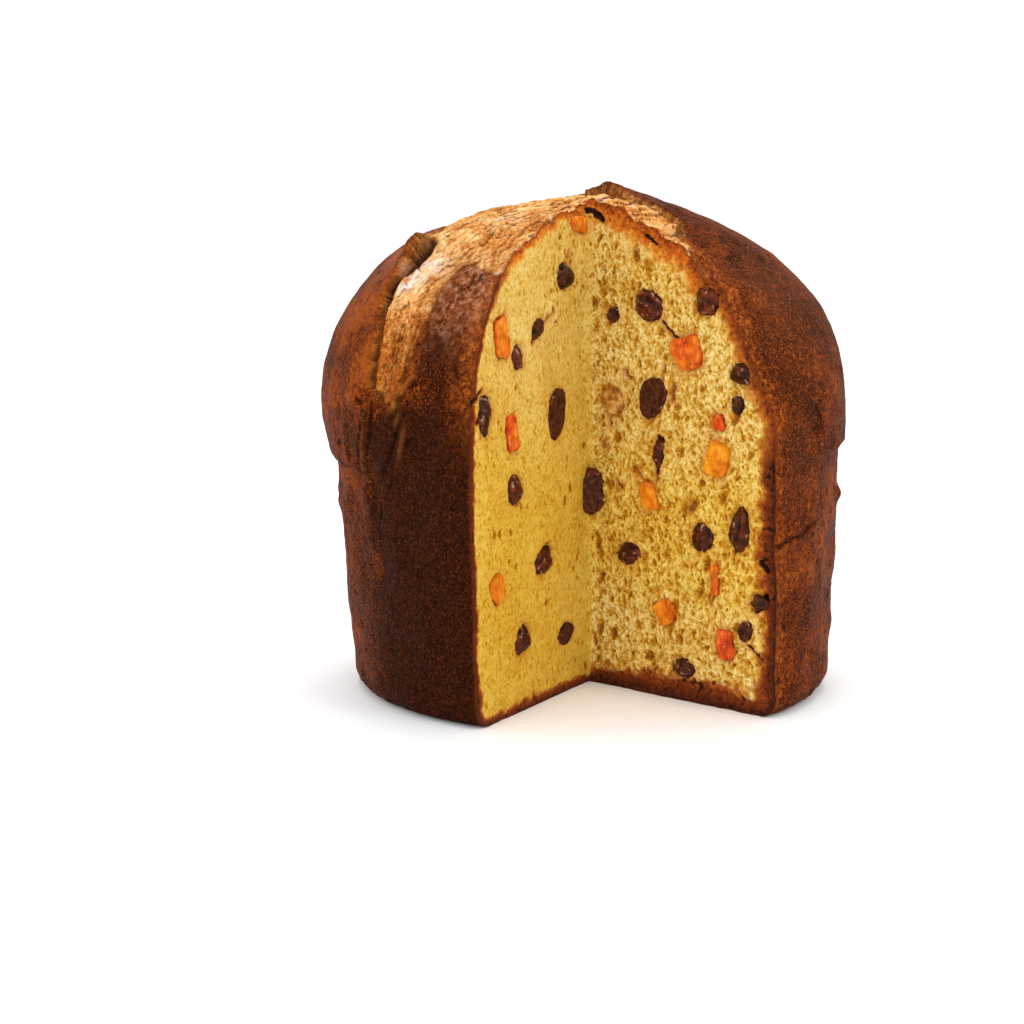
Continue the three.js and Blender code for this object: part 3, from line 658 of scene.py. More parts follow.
# soft upright folds of uneven width, where the case held the dough
fq = np.stack([theta * 80 / 6.5 + 0.5 * warp, theta * 0, height / 60], 1)
fold = noise(fq, 1.0, 43)
left_folds = bell(theta, -80, 30) * step(30, 70, height) * step(112, 95, height)
all_folds = step(8, 40, height) * step(neck_z(theta) + 6, neck_z(theta) - 4, height)
rise += 0.75 * fold * left_folds + 0.3 * fold * all_folds
crease_shade_mask = np.zeros(len(flatP))
ridge_lit_mask = np.zeros(len(flatP))
moved = flatP + 0.8 * np.stack([warp, 0.4 * warp, 0.7 * warp], 1)
far_list = [([on_crust(a, z) for a, z in pts], w, depth, 0.6) for pts, w, depth in FAR_CREASES]
for pts, w, depth, crease_shade_amount in CREASES + far_list:
    path = smooth_path(np.array(pts, float), 4)
    d, place, _ = to_path(moved, path)
    taper = np.clip(np.minimum(place, len(path) - 1 - place) / 2.5, 0.12, 1)
    g = np.exp(-(d / w) ** 2) * taper
    rise -= depth * g
    if depth > 0:
        rise += 0.35 * depth * np.exp(-((d - 2.2 * w) / (1.5 * w)) ** 2) * taper
        # painted shade along the crack, as strong as its last column says
        crease_shade_mask = np.maximum(crease_shade_mask, crease_shade_amount * g)
    else:
        ridge_lit_mask = np.maximum(ridge_lit_mask, g)
for a, z, r, up in BUMPS:
    c = on_crust(a, z)
    rise += up * np.exp(-(np.linalg.norm(flatP - c, axis=1) / r) ** 2)

# the torn band: between its low edge and the flap, over the top to the lobe
low, flapline, lobeline = (smooth_path(lay(q), 5) for q in (TORN_LOW, FLAP, LOBE))
wob = 1.5 * noise(flatP, 6, 51) + 0.8 * noise(flatP, 2.4, 52)
dl, pl, sl = to_line(laid, low)
df, pf, sf = to_line(laid, flapline)
do, po, so = to_line(laid, lobeline)
inner = lay([[-40, -28, 144]])
sl = sl * to_line(inner, low)[2][0]
sf = sf * to_line(inner, flapline)[2][0]
so = so * to_line(inner, lobeline)[2][0]


def inside_poly(M, poly):
    c = np.zeros(len(M), bool)
    for k in range(len(poly)):
        (x1, y1), (x2, y2) = poly[k - 1], poly[k]
        if y1 == y2:
            continue
        hit = ((y1 > M[:, 1]) != (y2 > M[:, 1])) & (M[:, 0] < (x2 - x1) * (M[:, 1] - y1) / (y2 - y1) + x1)
        c ^= hit
    return c


# closed outline of the torn band: up the low edge's end, along the flap, along the lobe, back through the cut-out
poly = np.vstack([low, flapline[::-1], lobeline[1:], [lobeline[-1] + (6.0, -14.0)], [[0.0, -30.0]], [low[0] + (8.0, -10.0)]])
rear = step(8, 24, flatP[:, 1])
jagged = laid + np.stack([0.55 * wob + 2.6 * rear * noise(flatP, 9.0, 55), 0.55 * noise(flatP, 5.0, 53) + 3.4 * rear * noise(flatP, 7.0, 56)], 1)
torn_in = inside_poly(jagged, poly)
edge_d = np.minimum(np.minimum(dl, df), do)
torn = np.where(torn_in, step(0.0, 1.1, edge_d + 0.4), step(0.55, 0.0, edge_d) * 0.45)
torn = torn * step(88, 97, height)
# how tan it is: palest high up, browner down the side
pale = torn * step(112, 132, height + 3 * noise(flatP, 8, 54))
# scorched along its low edge, where it runs into the dark crust, and browner towards its lower end
scorch = np.exp(-dl / 5.0) * step(-0.7, 0.3, noise(flatP, 4.5, 58) + 0.3 * noise(flatP, 1.8, 59))
pale = pale * (1 - 0.9 * scorch) * (0.45 + 0.55 * step(-0.35, 0.25, noise(flatP, 8.0, 97) + 0.35 * noise(flatP, 2.6, 98)))
torn_look = torn * (0.45 + 0.55 * step(106, 125, height + 4 * noise(flatP, 6, 60))) * (1 - 0.5 * scorch)
# the flap of old crust along the far edge
fr = np.interp(pf / 5.0, np.arange(len(FLAP_RISE)), FLAP_RISE) * step(0, 4, pf) * (1 + 0.14 * noise(flatP, 6.5, 61) + 0.06 * noise(flatP, 2.2, 64))
fs = df * sf + 0.5 * noise(flatP, 5.0, 62) + 0.12 * noise(flatP, 1.6, 63)      # above 0 on the torn side
on_old = step(0.35, -0.25, fs)
flap = fr * np.exp(-np.clip(-fs, 0, 99) / 6.0) * on_old
lr = np.interp(po / 5.0, np.arange(len(LOBE_RISE)), LOBE_RISE) * step(0, 4, po) * (1 + 0.2 * noise(flatP, 4.0, 65))
ls = do * so + 0.5 * noise(flatP, 2.6, 66) + 0.2 * noise(flatP, 1.1, 67)
on_old_l = step(0.5, -0.4, ls)
lobe = lr * np.exp(-np.clip(-ls, 0, 99) / 7.0) * on_old_l
rise += flap + lobe
# the flap leans over the tear
lean3 = np.array([0.62, -0.55, 0.25])
lateral += lean3 * (1.9 * flap / 5.5 * np.exp(-np.clip(-fs, 0, 99) / 2.0))[:, None]
gap_deep = np.exp(-((fs - 1.3) / 1.5) ** 2) * np.clip(fr / 2.2, 0, 1.3) * (fs > -0.3)
gap_lobe = np.exp(-((ls - 1.0) / 1.1) ** 2) * np.clip(lr / 2.6, 0, 1) * (ls > -0.3)
rise -= 1.5 * gap_deep + 0.8 * gap_lobe
rise -= 0.7 * torn
# plates and strands along the tear: noise drawn out along the band
band_u = laid @ np.array([0.80, 0.60])
band_v = laid @ np.array([-0.60, 0.80])
bend = 2.2 * noise(flatP, 16, 70) + 0.9 * noise(flatP, 5, 77)
strand_p = np.stack([band_u * 0.22, (band_v + bend), band_u * 0.0 + 3.0], 1)
strand = noise(strand_p, 5.2, 71)
strand2 = noise(np.stack([band_u * 0.3, band_v + bend * 0.8, band_u * 0 + 9.0], 1), 1.5, 78)
plate = np.floor(strand * 2.4 + 0.7 * noise(flatP, 9, 79)) / 2.4
plate_edge = np.abs((strand * 2.4 + 0.7 * noise(flatP, 9, 79)) % 1.0 - 0.5)
rise += torn * (1.5 * plate + 0.04 * np.abs(strand2) + 0.55 * noise(flatP, 5.0, 72) + 0.22 * noise(flatP, 2.4, 73) + 0.07 * noise(flatP, 1.1, 74) - 0.2)
tear_crack = torn * np.maximum(step(0.44, 0.5, plate_edge) * step(-0.2, 0.35, noise(flatP, 6.5, 80)), 0.22 * step(0.05, 0.0, np.abs(strand2)) * step(0.3, 0.7, noise(flatP, 5.0, 83)))
# ragged bottom edge
rise += 0.5 * step(5.5, 1.5, height) * step(0.2, 1.0, height) * noise(flatP, 3.0, 81)
rise = np.where(height < 1e-6, 0, rise)
flatten = step(0.0, 1.6, height)
Q = flatP + flatN * rise[:, None] * np.maximum(flatten, 0)[:, None] + lateral
Q[:, 2] = np.maximum(Q[:, 2], 0)
Q = Q.reshape(nr, nc, 3)
Q[0] = Q[0, 0]
Q[-1] = Q[-1].mean(axis=0)

faces = {}
for side, col in ((1, 0), (-1, nc - 1)):
    f = Face(side)
    edge = Q[:, col] - A0
    u = edge @ f.along
    edge_u, edge_z = np.maximum(u, 0), Q[:, col, 2]
    edge_u[0] = edge_u[-1] = 0
    f.carve(edge_u, edge_z)
    f.edge_u, f.edge_z = edge_u, edge_z
    faces[side] = f

# where the two faces meet the crumb tore a little, so the inner corner wanders
TOP_AT = Q[-1, 0, 2]


def corner_shift(z):
    p = np.stack([z * 0, z * 0, z], 1)
    s = 1.3 * noise(p, 13, 91) + 0.7 * noise(p, 4, 92) + 0.35 * noise(p, 1.4, 93) + 0.2
    return s * step(0, 4, z) * step(TOP_AT, TOP_AT - 4, z)


def corner_round(u, z):
    """How far the crumb stands forward of the two flat faces round their shared corner."""
    p = np.stack([z * 0, z * 0 + 7, z], 1)
    r = 1.5 + 0.8 * noise(p, 9, 94) + 0.35 * noise(p, 3, 95)
    r = r * (1 - 0.75 * np.exp(-((z - CORNER_RAISIN[0]) / 9) ** 2)) * step(0, 5, z) * step(TOP_AT, TOP_AT - 5, z)
    x = u * math.sin(CUT_HALF * DEG)
    return (np.sqrt(x * x + r * r) - x) / math.tan(CUT_HALF * DEG) * step(13, 6, u)


# the crust's end columns lie on the cut planes, roughened as the crumb is
for side, col in ((1, 0), (-1, nc - 1)):
    f = faces[side]
    hb = f.sample(f.h, f.edge_u, f.edge_z)
    hb = hb * step(0.0, 2.5, f.edge_u)
    target = A0 + f.edge_u[:, None] * f.along + f.edge_z[:, None] * UP + hb[:, None] * f.out
    target[0] = A0
    target[-1] = (0, -CUT_APEX, TOP_AT)
    target[:, 2] = np.where(Q[:, col, 2] <= 1e-6, 0, target[:, 2])
    delta = target - Q[:, col]
    for j in range(0, 6):
        c = col + j if side > 0 else col - j
        w = 1 - j / 6
        w = w * w * (3 - 2 * w)
        Q[:, c] += delta * w
    Q[:, col] = target
    f.target = target
    f.hb = hb
Q[0] = A0
Q[-1] = (0, -CUT_APEX, TOP_AT)

# how hollow each spot is: painted shade in hollows, creases, cracks, gaps and under the lip, a painted highlight on
# raised spots, and the dark blister spots in the same channel
rg = rise.reshape(nr, nc)
blur = rg.copy()
for _ in range(6):
    blur[1:-1, 1:-1] = (blur[:-2, 1:-1] + blur[2:, 1:-1] + blur[1:-1, :-2] + blur[1:-1, 2:] + 2 * blur[1:-1, 1:-1]) / 6
painted_shading_and_blisters = np.clip((blur - rg) / 0.35, -1, 1).ravel()
painted_shading_and_blisters = np.maximum(painted_shading_and_blisters, 1.2 * crease_shade_mask)
# painted shade in the gaps under the flap and the lobe
painted_shading_and_blisters = np.maximum(painted_shading_and_blisters, 1.5 * np.clip(gap_deep, 0, 1) * np.clip(fr / 2.0, 0, 1) * step(0.0, 0.5, fs))
painted_shading_and_blisters = np.maximum(painted_shading_and_blisters, 0.8 * gap_lobe)
# painted shade on the wall under the leaning flap
flap_wall_shade = step(-0.1, 0.35, fs) * step(2.6, 1.0, fs) * np.clip(fr / 2.0, 0, 1)
painted_shading_and_blisters = np.maximum(painted_shading_and_blisters, 1.5 * flap_wall_shade)
# painted shade in the cracks between the torn plates
painted_shading_and_blisters = np.maximum(painted_shading_and_blisters, 0.75 * tear_crack)
# painted highlight along raised ridges and along the flap's edge
painted_ridge_highlight = np.maximum(ridge_lit_mask, 0.2 * np.exp(-((fs + 0.9) / 0.6) ** 2) * np.clip(fr / 3, 0, 1))
neckz = neck_z(theta)
# painted shadow under the overhanging lip of the dome
under_lip_shadow = np.exp(-((height - neckz - 0.2) / 1.3) ** 2) * step(0.6, 2.0, lip_out(theta)) * step(-0.75, 0.35, noise(flatP, 9.0, 57))
painted_shading_and_blisters = np.maximum(painted_shading_and_blisters, 0.75 * under_lip_shadow)


def spot(point, size, squash=1.0):
    d = flatP - np.array(point, float)
    return np.exp(-(d[:, 0] ** 2 + d[:, 1] ** 2 + (d[:, 2] / squash) ** 2) / size ** 2)


# a glossy patch on the dome: less rough, and its colour mottled with painted highlights
gloss_and_painted_highlight = np.clip(spot((-44.5, -45, 132), 9) + 0.6 * spot((-50, -49, 124), 9), 0, 1) * (1 - 0.6 * torn)
blister = spot((-42.5, -44.5, 133.5), 5.5) * step(0.05, 0.45, noise(flatP, 1.5, 101))
painted_shading_and_blisters = np.maximum(painted_shading_and_blisters, 1.1 * blister)
# floury patches, rust along the cut, and how dark the crust is from place to place, partly the bake's own unevenness
# and partly painted light and shade
floury = torn * np.clip(1.5 * spot((-61.1, -25.5, 133.5), 5.0) + 1.4 * spot((-54.5, -27.5, 137.8), 5.0) + 0.5 * spot((-30, -14, 150), 5), 0, 1) * step(-0.6, 0.3, noise(flatP, 2.2, 75))
floury = np.maximum(floury, 0.8 * torn * step(0.62, 0.9, noise(flatP, 6.5, 76) + 0.2 * noise(flatP, 1.6, 84)))
bake_and_painted_shading = 0.5 * noise(flatP, 17, 85) + 0.3 * noise(flatP, 6, 86)
# darker over the front left: a darker bake there, and painted shade under the dome's overhang
bake_and_painted_shading += 0.9 * bell(theta, -46, 15) * step(104, 80, height) + 0.55 * bell(theta, -42, 13) * step(92, 116, height)
bake_and_painted_shading += 0.6 * bell(theta, -44, 10) * step(128, 110, height) + 0.6 * bell(theta, -52, 12) * step(106, 88, height)
# painted light: lighter on the dome's left side
bake_and_painted_shading -= 0.5 * bell(theta, -74, 16) * step(84, 100, height)
# darker in a band just above the neck on the right
bake_and_painted_shading += 0.45 * np.exp(-(((height - neckz - 3) / 9) ** 2)) * bell(theta, 60, 30)
# places with painted sheen, which are also a little less rough
gloss_and_painted_sheen = np.clip(spot((49.8, -32.4, 127.5), 17) + 0.7 * spot((60, -40, 108), 14) + 0.6 * spot((56, -51, 78), 11, 1.6) + 0.9 * spot((-62, -6, 139), 11) + 0.8 * spot((-77, -25, 86), 6)
                + 0.7 * spot((66, -40, 45), 10, 2) + 0.5 * spot((-20, 60, 130), 22) + 0.5 * spot((20, 76, 60), 18), 0, 1)
rust = np.maximum(bell(theta, -38, 3.2) * step(75, 120, height) * step(-0.5, 0.5, noise(flatP, 4, 87) + 0.4),
                  (0.7 + 0.3 * step(84, 96, height)) * bell(theta, 38, 1.4 + 0.7 * step(84, 96, height) + 0.8 * noise(flatP, 3.0, 88)) * step(-0.6, 0.3, noise(flatP, 1.4, 89))) * (1 - 0.6 * torn)
rust = np.maximum(rust, 0.85 * np.exp(-(dl / 4.0) ** 2) * (1 - torn_in) * step(94, 104, height) * step(-0.5, 0.4, noise(flatP, 3.2, 90) + 0.3 * noise(flatP, 1.2, 91)))


# ------------------------------------------------------------------ making meshes
def make(name, verts, tris, attributes, material, sharp=False, hard=None):
    mesh = bpy.data.meshes.new(name)
    verts = np.asarray(verts, np.float64) * 0.001
    tris = np.asarray(tris, np.int32)
    mesh.vertices.add(len(verts))
    mesh.vertices.foreach_set("co", verts.ravel())
    mesh.loops.add(tris.size)
    mesh.loops.foreach_set("vertex_index", tris.ravel())
    mesh.polygons.add(len(tris))
    mesh.polygons.foreach_set("loop_start", np.arange(0, tris.size, 3, dtype=np.int32))
    mesh.update(calc_edges=True)
    for key, values in attributes.items():
        layer = mesh.attributes.new(key, "FLOAT", "POINT")
        layer.data.foreach_set("value", np.asarray(values, np.float32).ravel())
    mesh.polygons.foreach_set("use_smooth", np.full(len(tris), not sharp))
    if hard is not None:
        # edges between these vertices keep the normals on either side apart
        ends = np.zeros(len(mesh.edges) * 2, np.int32)
        mesh.edges.foreach_get("vertices", ends)
        on = np.zeros(len(verts), bool)
        on[hard] = True
        crisp = mesh.attributes.new("sharp_edge", "BOOLEAN", "EDGE")
        crisp.data.foreach_set("value", on[ends[0::2]] & on[ends[1::2]])
    mesh.validate()
    mesh.materials.append(material)
    obj = bpy.data.objects.new(name, mesh)
    bpy.context.scene.collection.objects.link(obj)
    return obj


def sheet_tris(rows, cols, at):
    i, j = np.meshgrid(np.arange(rows - 1), np.arange(cols - 1), indexing="ij")
    a, b, c, d = at(i, j), at(i, j + 1), at(i + 1, j + 1), at(i + 1, j)
    # the shorter diagonal would need lengths; one way is enough at this size
    return np.concatenate([np.stack([a, b, c], -1).reshape(-1, 3), np.stack([a, c, d], -1).reshape(-1, 3)])


def clean(tris):
    t = np.asarray(tris)
    ok = (t[:, 0] != t[:, 1]) & (t[:, 1] != t[:, 2]) & (t[:, 0] != t[:, 2])
    return t[ok]


def crust_piece(name, side, material):
    """One half of the crust: the outer sheet, walls that go in behind the crumb, and a point inside."""
    half = nc // 2
    cols = np.arange(0, half + 1) if side > 0 else np.arange(half, nc)
    cut_col = 0 if side > 0 else len(cols) - 1
    sub = Q[:, cols]
    m = len(cols)
    # poles are single points
    verts = [sub[0, 0], sub[-1, 0]]
    inner = sub[1:-1].reshape(-1, 3)
    verts = np.vstack([verts, inner])

    def at(i, j):
        i, j = np.asarray(i), np.asarray(j)
        idx = 2 + (i - 1) * m + j
        return np.where(i == 0, 0, np.where(i == nr - 1, 1, idx))

    tris = clean(sheet_tris(nr, m, at))
    f = faces[side]
    column = Q[1:-1, 0 if side > 0 else nc - 1]
    nrm = N[1:-1, 0 if side > 0 else nc - 1]
    behind = column - 8.0 * f.out - 3.2 * nrm
    bot = A0 - 8.0 * f.out + (0, 0, 3.2)
    top = np.array([0, -CUT_APEX, TOP_AT]) - 8.0 * f.out - (0, 0, 3.2)
    base = len(verts)
    centre = np.array([side * 34.0, 30.0, 78.0])
    verts = np.vstack([verts, [bot], behind, [top], [centre]])
    rim = np.concatenate([[0], at(np.arange(1, nr - 1), np.full(nr - 2, cut_col)), [1]])
    back = base + np.arange(nr)
    mid_i = base + nr
    far_col = m - 1 if side > 0 else 0
    far = np.concatenate([[0], at(np.arange(1, nr - 1), np.full(nr - 2, far_col)), [1]])
    quads = [np.stack([rim[:-1], rim[1:], back[1:]], 1), np.stack([rim[:-1], back[1:], back[:-1]], 1)]
    fan_cut = np.stack([back[:-1], back[1:], np.full(nr - 1, mid_i)], 1)
    fan_far = np.stack([far[1:], far[:-1], np.full(nr - 1, mid_i)], 1)
    ends = np.array([[back[0], mid_i, 0], [mid_i, back[-1], 1]])
    walls = np.vstack(quads + [fan_cut, fan_far, ends])
    tri = np.vstack([tris, walls if side > 0 else walls[:, ::-1]])
    values = {}
    grids = {"torn": torn_look, "pale": pale, "painted_shading_and_blisters": painted_shading_and_blisters, "gloss_and_painted_highlight": gloss_and_painted_highlight, "floury": floury, "crack": tear_crack,
             "bake_and_painted_shading": bake_and_painted_shading, "gloss_and_painted_sheen": gloss_and_painted_sheen, "rust": rust, "ridge": painted_ridge_highlight}
    for key, g in grids.items():
        g = g.reshape(nr, nc)[:, cols]
        values[key] = np.concatenate([[g[0, 0], g[-1, 0]], g[1:-1].ravel(), np.zeros(nr + 1)])
    cut = np.zeros((nr, m))
    for j in range(6):
        cut[:, cut_col + j if side > 0 else cut_col - j] = 1 - j / 5
    values["cut"] = np.concatenate([[1, 1], cut[1:-1].ravel(), np.zeros(nr + 1)])
    return make(name, verts, tri, values, material, hard=np.concatenate([rim, back, far]))


def crumb_piece(name, side, material, spacing=0.37):
    f = faces[side]
    # outline in the face's plane: crust edge from the bottom up, then down the corner
    zc = np.linspace(TOP_AT, 0, 330)[1:-1]
    ob_u, ob_z = f.edge_u, f.target[:, 2]
    loop_u = np.concatenate([ob_u, np.zeros(len(zc))])
    loop_z = np.concatenate([ob_z, zc])
    loop3 = np.vstack([f.target, [A0 + (0, -s, z) for s, z in zip(corner_shift(zc) + corner_round(zc * 0, zc), zc)]])
    # inner points on a jittered grid, clear of the outline
    rng = np.random.default_rng(5 + side)
    gu, gz = np.meshgrid(np.arange(spacing * 0.8, 82, spacing), np.arange(spacing * 0.5, 160, spacing * 0.92), indexing="ij")
    gu = gu + (np.arange(gz.shape[1]) % 2)[None, :] * spacing * 0.5
    gu = gu + rng.uniform(-0.09, 0.09, gu.shape)
    gz = gz + rng.uniform(-0.09, 0.09, gz.shape)
    gu, gz = gu.ravel(), gz.ravel()
    # inside test: even-odd against the outline, on the raster's scale
    inside = np.zeros(len(gu), bool)
    n = len(loop_u)
    order = np.argsort(gz)
    zs = gz[order]
    for k in range(n):
        u1, z1, u2, z2 = loop_u[k], loop_z[k], loop_u[(k + 1) % n], loop_z[(k + 1) % n]
        if z1 == z2:
            continue
        lo, hi = (z1, z2) if z1 < z2 else (z2, z1)
        a, b = np.searchsorted(zs, lo, "left"), np.searchsorted(zs, hi, "left")
        idx = order[a:b]
        x = u1 + (gz[idx] - z1) / (z2 - z1) * (u2 - u1)
        inside[idx] ^= gu[idx] < x
    keep = inside & (f.sample(f.near, gu, gz) > 0.3) & (gu > 0.25) & (gz > 0.28)
    gu, gz = gu[keep], gz[keep]
    pts = [Vector((float(a), float(b))) for a, b in zip(np.concatenate([loop_u, gu]), np.concatenate([loop_z, gz]))]
    out = delaunay_2d_cdt(pts, [], [list(range(n))], 1, 1e-7)
    if len(out[0]) != len(pts):
        print("outline points merged:", len(pts) - len(out[0]))
    tri = np.array(out[2], np.int32)
    src = np.array([o[0] for o in out[3]], np.int64)
    allu, allz = np.concatenate([loop_u, gu])[src], np.concatenate([loop_z, gz])[src]
    hh = f.sample(f.h, allu, allz)
    pos = A0 + allu[:, None] * f.along + allz[:, None] * UP + hh[:, None] * f.out
    cs = corner_shift(allz)
    w = step(4.5, 0.0, allu)[:, None]
    pos = pos * (1 - w) + w * (A0 + allu[:, None] * f.along + allz[:, None] * UP + (0.7 * hh[:, None]) * f.out * np.clip(allu[:, None] / 3.0, 0, 1) + cs[:, None] * np.array([0, -1.0, 0]))
    pos[:, 1] -= corner_round(allu, allz)
    edge = src < n
    pos[edge] = loop3[src[edge]]
    # face the notch
    a, b, c = pos[tri[0, 0]], pos[tri[0, 1]], pos[tri[0, 2]]
    if np.dot(np.cross(b - a, c - a), f.out) < 0:
        tri = tri[:, ::-1]
    # close it behind
    where = np.full(n, -1)
    where[src[edge]] = np.nonzero(edge)[0]
    loop = where
    mu, mz = 34.0, 76.0
    inward = np.stack([mu - loop_u, mz - loop_z], 1)
    inward /= np.linalg.norm(inward, axis=1)[:, None]
    back3 = loop3 - 6.0 * f.out + 3.4 * (inward[:, 0:1] * f.along + inward[:, 1:2] * UP)
    centre = A0 + mu * f.along + mz * UP - 12 * f.out
    base = len(pos)
    pos = np.vstack([pos, back3, [centre]])
    back = base + np.arange(n)
    nxt = np.roll(np.arange(n), -1)
    walls = np.vstack([np.stack([loop, back, back[nxt]], 1), np.stack([loop, back[nxt], loop[nxt]], 1),
                       np.stack([back, np.full(n, base + n), back[nxt]], 1)])
    # same turning sense as the sheet's own edge
    e = set(map(tuple, np.vstack([tri[:, [0, 1]], tri[:, [1, 2]], tri[:, [2, 0]]])[:, :].tolist()))
    if (int(loop[0]), int(loop[1])) in e:
        # the sheet runs loop[0] -> loop[1]; the wall has to run it backwards
        wall_edges = {(int(t[k]), int(t[(k + 1) % 3])) for t in walls[[0, n]] for k in range(3)}
        if (int(loop[0]), int(loop[1])) in wall_edges:
            walls = walls[:, ::-1]
    else:
        wall_edges = {(int(t[k]), int(t[(k + 1) % 3])) for t in walls[[0, n]] for k in range(3)}
        if (int(loop[1]), int(loop[0])) in wall_edges:
            walls = walls[:, ::-1]
    tri = np.vstack([tri, walls])
    pad = np.zeros(n + 1)
    values = {key: np.concatenate([f.sample(g, allu, allz), pad]) for key, g in
              (("pit", f.pit), ("stain", f.stain), ("dark", f.dark), ("rim", f.rim), ("gold", f.gold))}
    values["close"] = np.concatenate([np.full(len(allu), 1.0 if side > 0 else 0.0), pad])
    golden = step(132, 60, allz) if side < 0 else 0.8 * step(92, 58, allz) * step(22, 40, allz)
    values["warm"] = np.concatenate([golden, pad])
    return make(name, pos, tri, values, material, hard=np.concatenate([loop, back]))


# ------------------------------------------------------------------ fruit meshes
def ico(subdivisions):
    bm = bmesh.new()
    bmesh.ops.create_icosphere(bm, subdivisions=subdivisions, radius=1)
    bm.verts.ensure_lookup_table()
    v = np.array([tuple(x.co) for x in bm.verts])
    t = np.array([[x.index for x in fc.verts] for fc in bm.faces])
    bm.free()
    return v / np.linalg.norm(v, axis=1)[:, None], t


ICO4, ICO5 = ico(4), ico(5)


def fruit_piece(name, kind, w, h, d, basis, centre, seed, tone, flat_at, material):
    v, t = ICO5 if w * h > 28 else ICO4
    x, y, z = v.T
    f = np.ones(len(v))
    if kind == "peel":
        f = 0.97 * (x ** 4 + y ** 4 + z ** 4) ** -0.25 * 0.9
        f = f * 0.5 + 0.5 * 0.88 * (np.abs(x) ** 7 + np.abs(y) ** 7 + np.abs(z) ** 7) ** (-1 / 7)
    f = f * (1 + 0.05 * np.sin(3.1 * x + 2.3 * y + seed) + 0.05 * np.sin(2.7 * z - 3.3 * y + 1.7 * seed))
    p = np.stack([x * f * w / 2, y * f * h / 2, z * f * d / 2], 1)
    n = np.stack([x / w, y / h, z / d], 1)
    n /= np.linalg.norm(n, axis=1)[:, None]
    s = seed * 3.7 + 1.3
    if kind == "peel":
        lean_x, lean_y = 0.16 * math.sin(5.1 * seed), 0.16 * math.sin(3.3 * seed + 1)
        p = np.stack([p[:, 0] * (1 + lean_x * y), p[:, 1] * (1 + lean_y * x), p[:, 2]], 1)
        p += n * (0.42 * noise(p, 4.4, s) + 0.20 * noise(p, 1.8, s + 3) + 0.09 * noise(p, 0.9, s + 5))[:, None]
        wr = 0.5 + 0.5 * noise(p, 1.4, s + 9)
    else:
        long = 1 if h >= w else 0
        q = p.copy()
        q[:, long] *= 0.45
        ridge = 1 - np.abs(noise(q, 2.4, s)) * 1.6
        ridge2 = 1 - np.abs(noise(q, 1.15, s + 4)) * 1.6
        amp = 0.62
        p += n * (amp * (ridge - 0.6) + 0.22 * (ridge2 - 0.5) + (0.6 if kind == "raisin" else 1.3) * noise(p, 5, s + 2))[:, None]
        wr = np.clip(0.5 + 0.5 * (ridge - 0.6), 0, 1)
    cut = np.zeros(len(v))
    if flat_at is not None:
        m = p[:, 2] > flat_at
        cut[m] = 1
        surf = flat_at + 0.05 * noise(np.stack([p[:, 0], p[:, 1], p[:, 0] * 0], 1), 1.1, s)
        p[:, 2] = np.where(m, surf, p[:, 2])
    world = centre + p[:, 0:1] * basis[0] + p[:, 1:2] * basis[1] + p[:, 2:3] * basis[2]
    return make(name + "_fine", world, t, {"wrinkle": wr, "tone": np.full(len(v), tone), "sliced": cut}, material)


# ------------------------------------------------------------------ materials
def srgb(r, g, b):
    out = []
    for c in (r, g, b):
        c /= 255
        out.append(c / 12.92 if c <= 0.04045 else ((c + 0.055) / 1.055) ** 2.4)
    return (*out, 1.0)


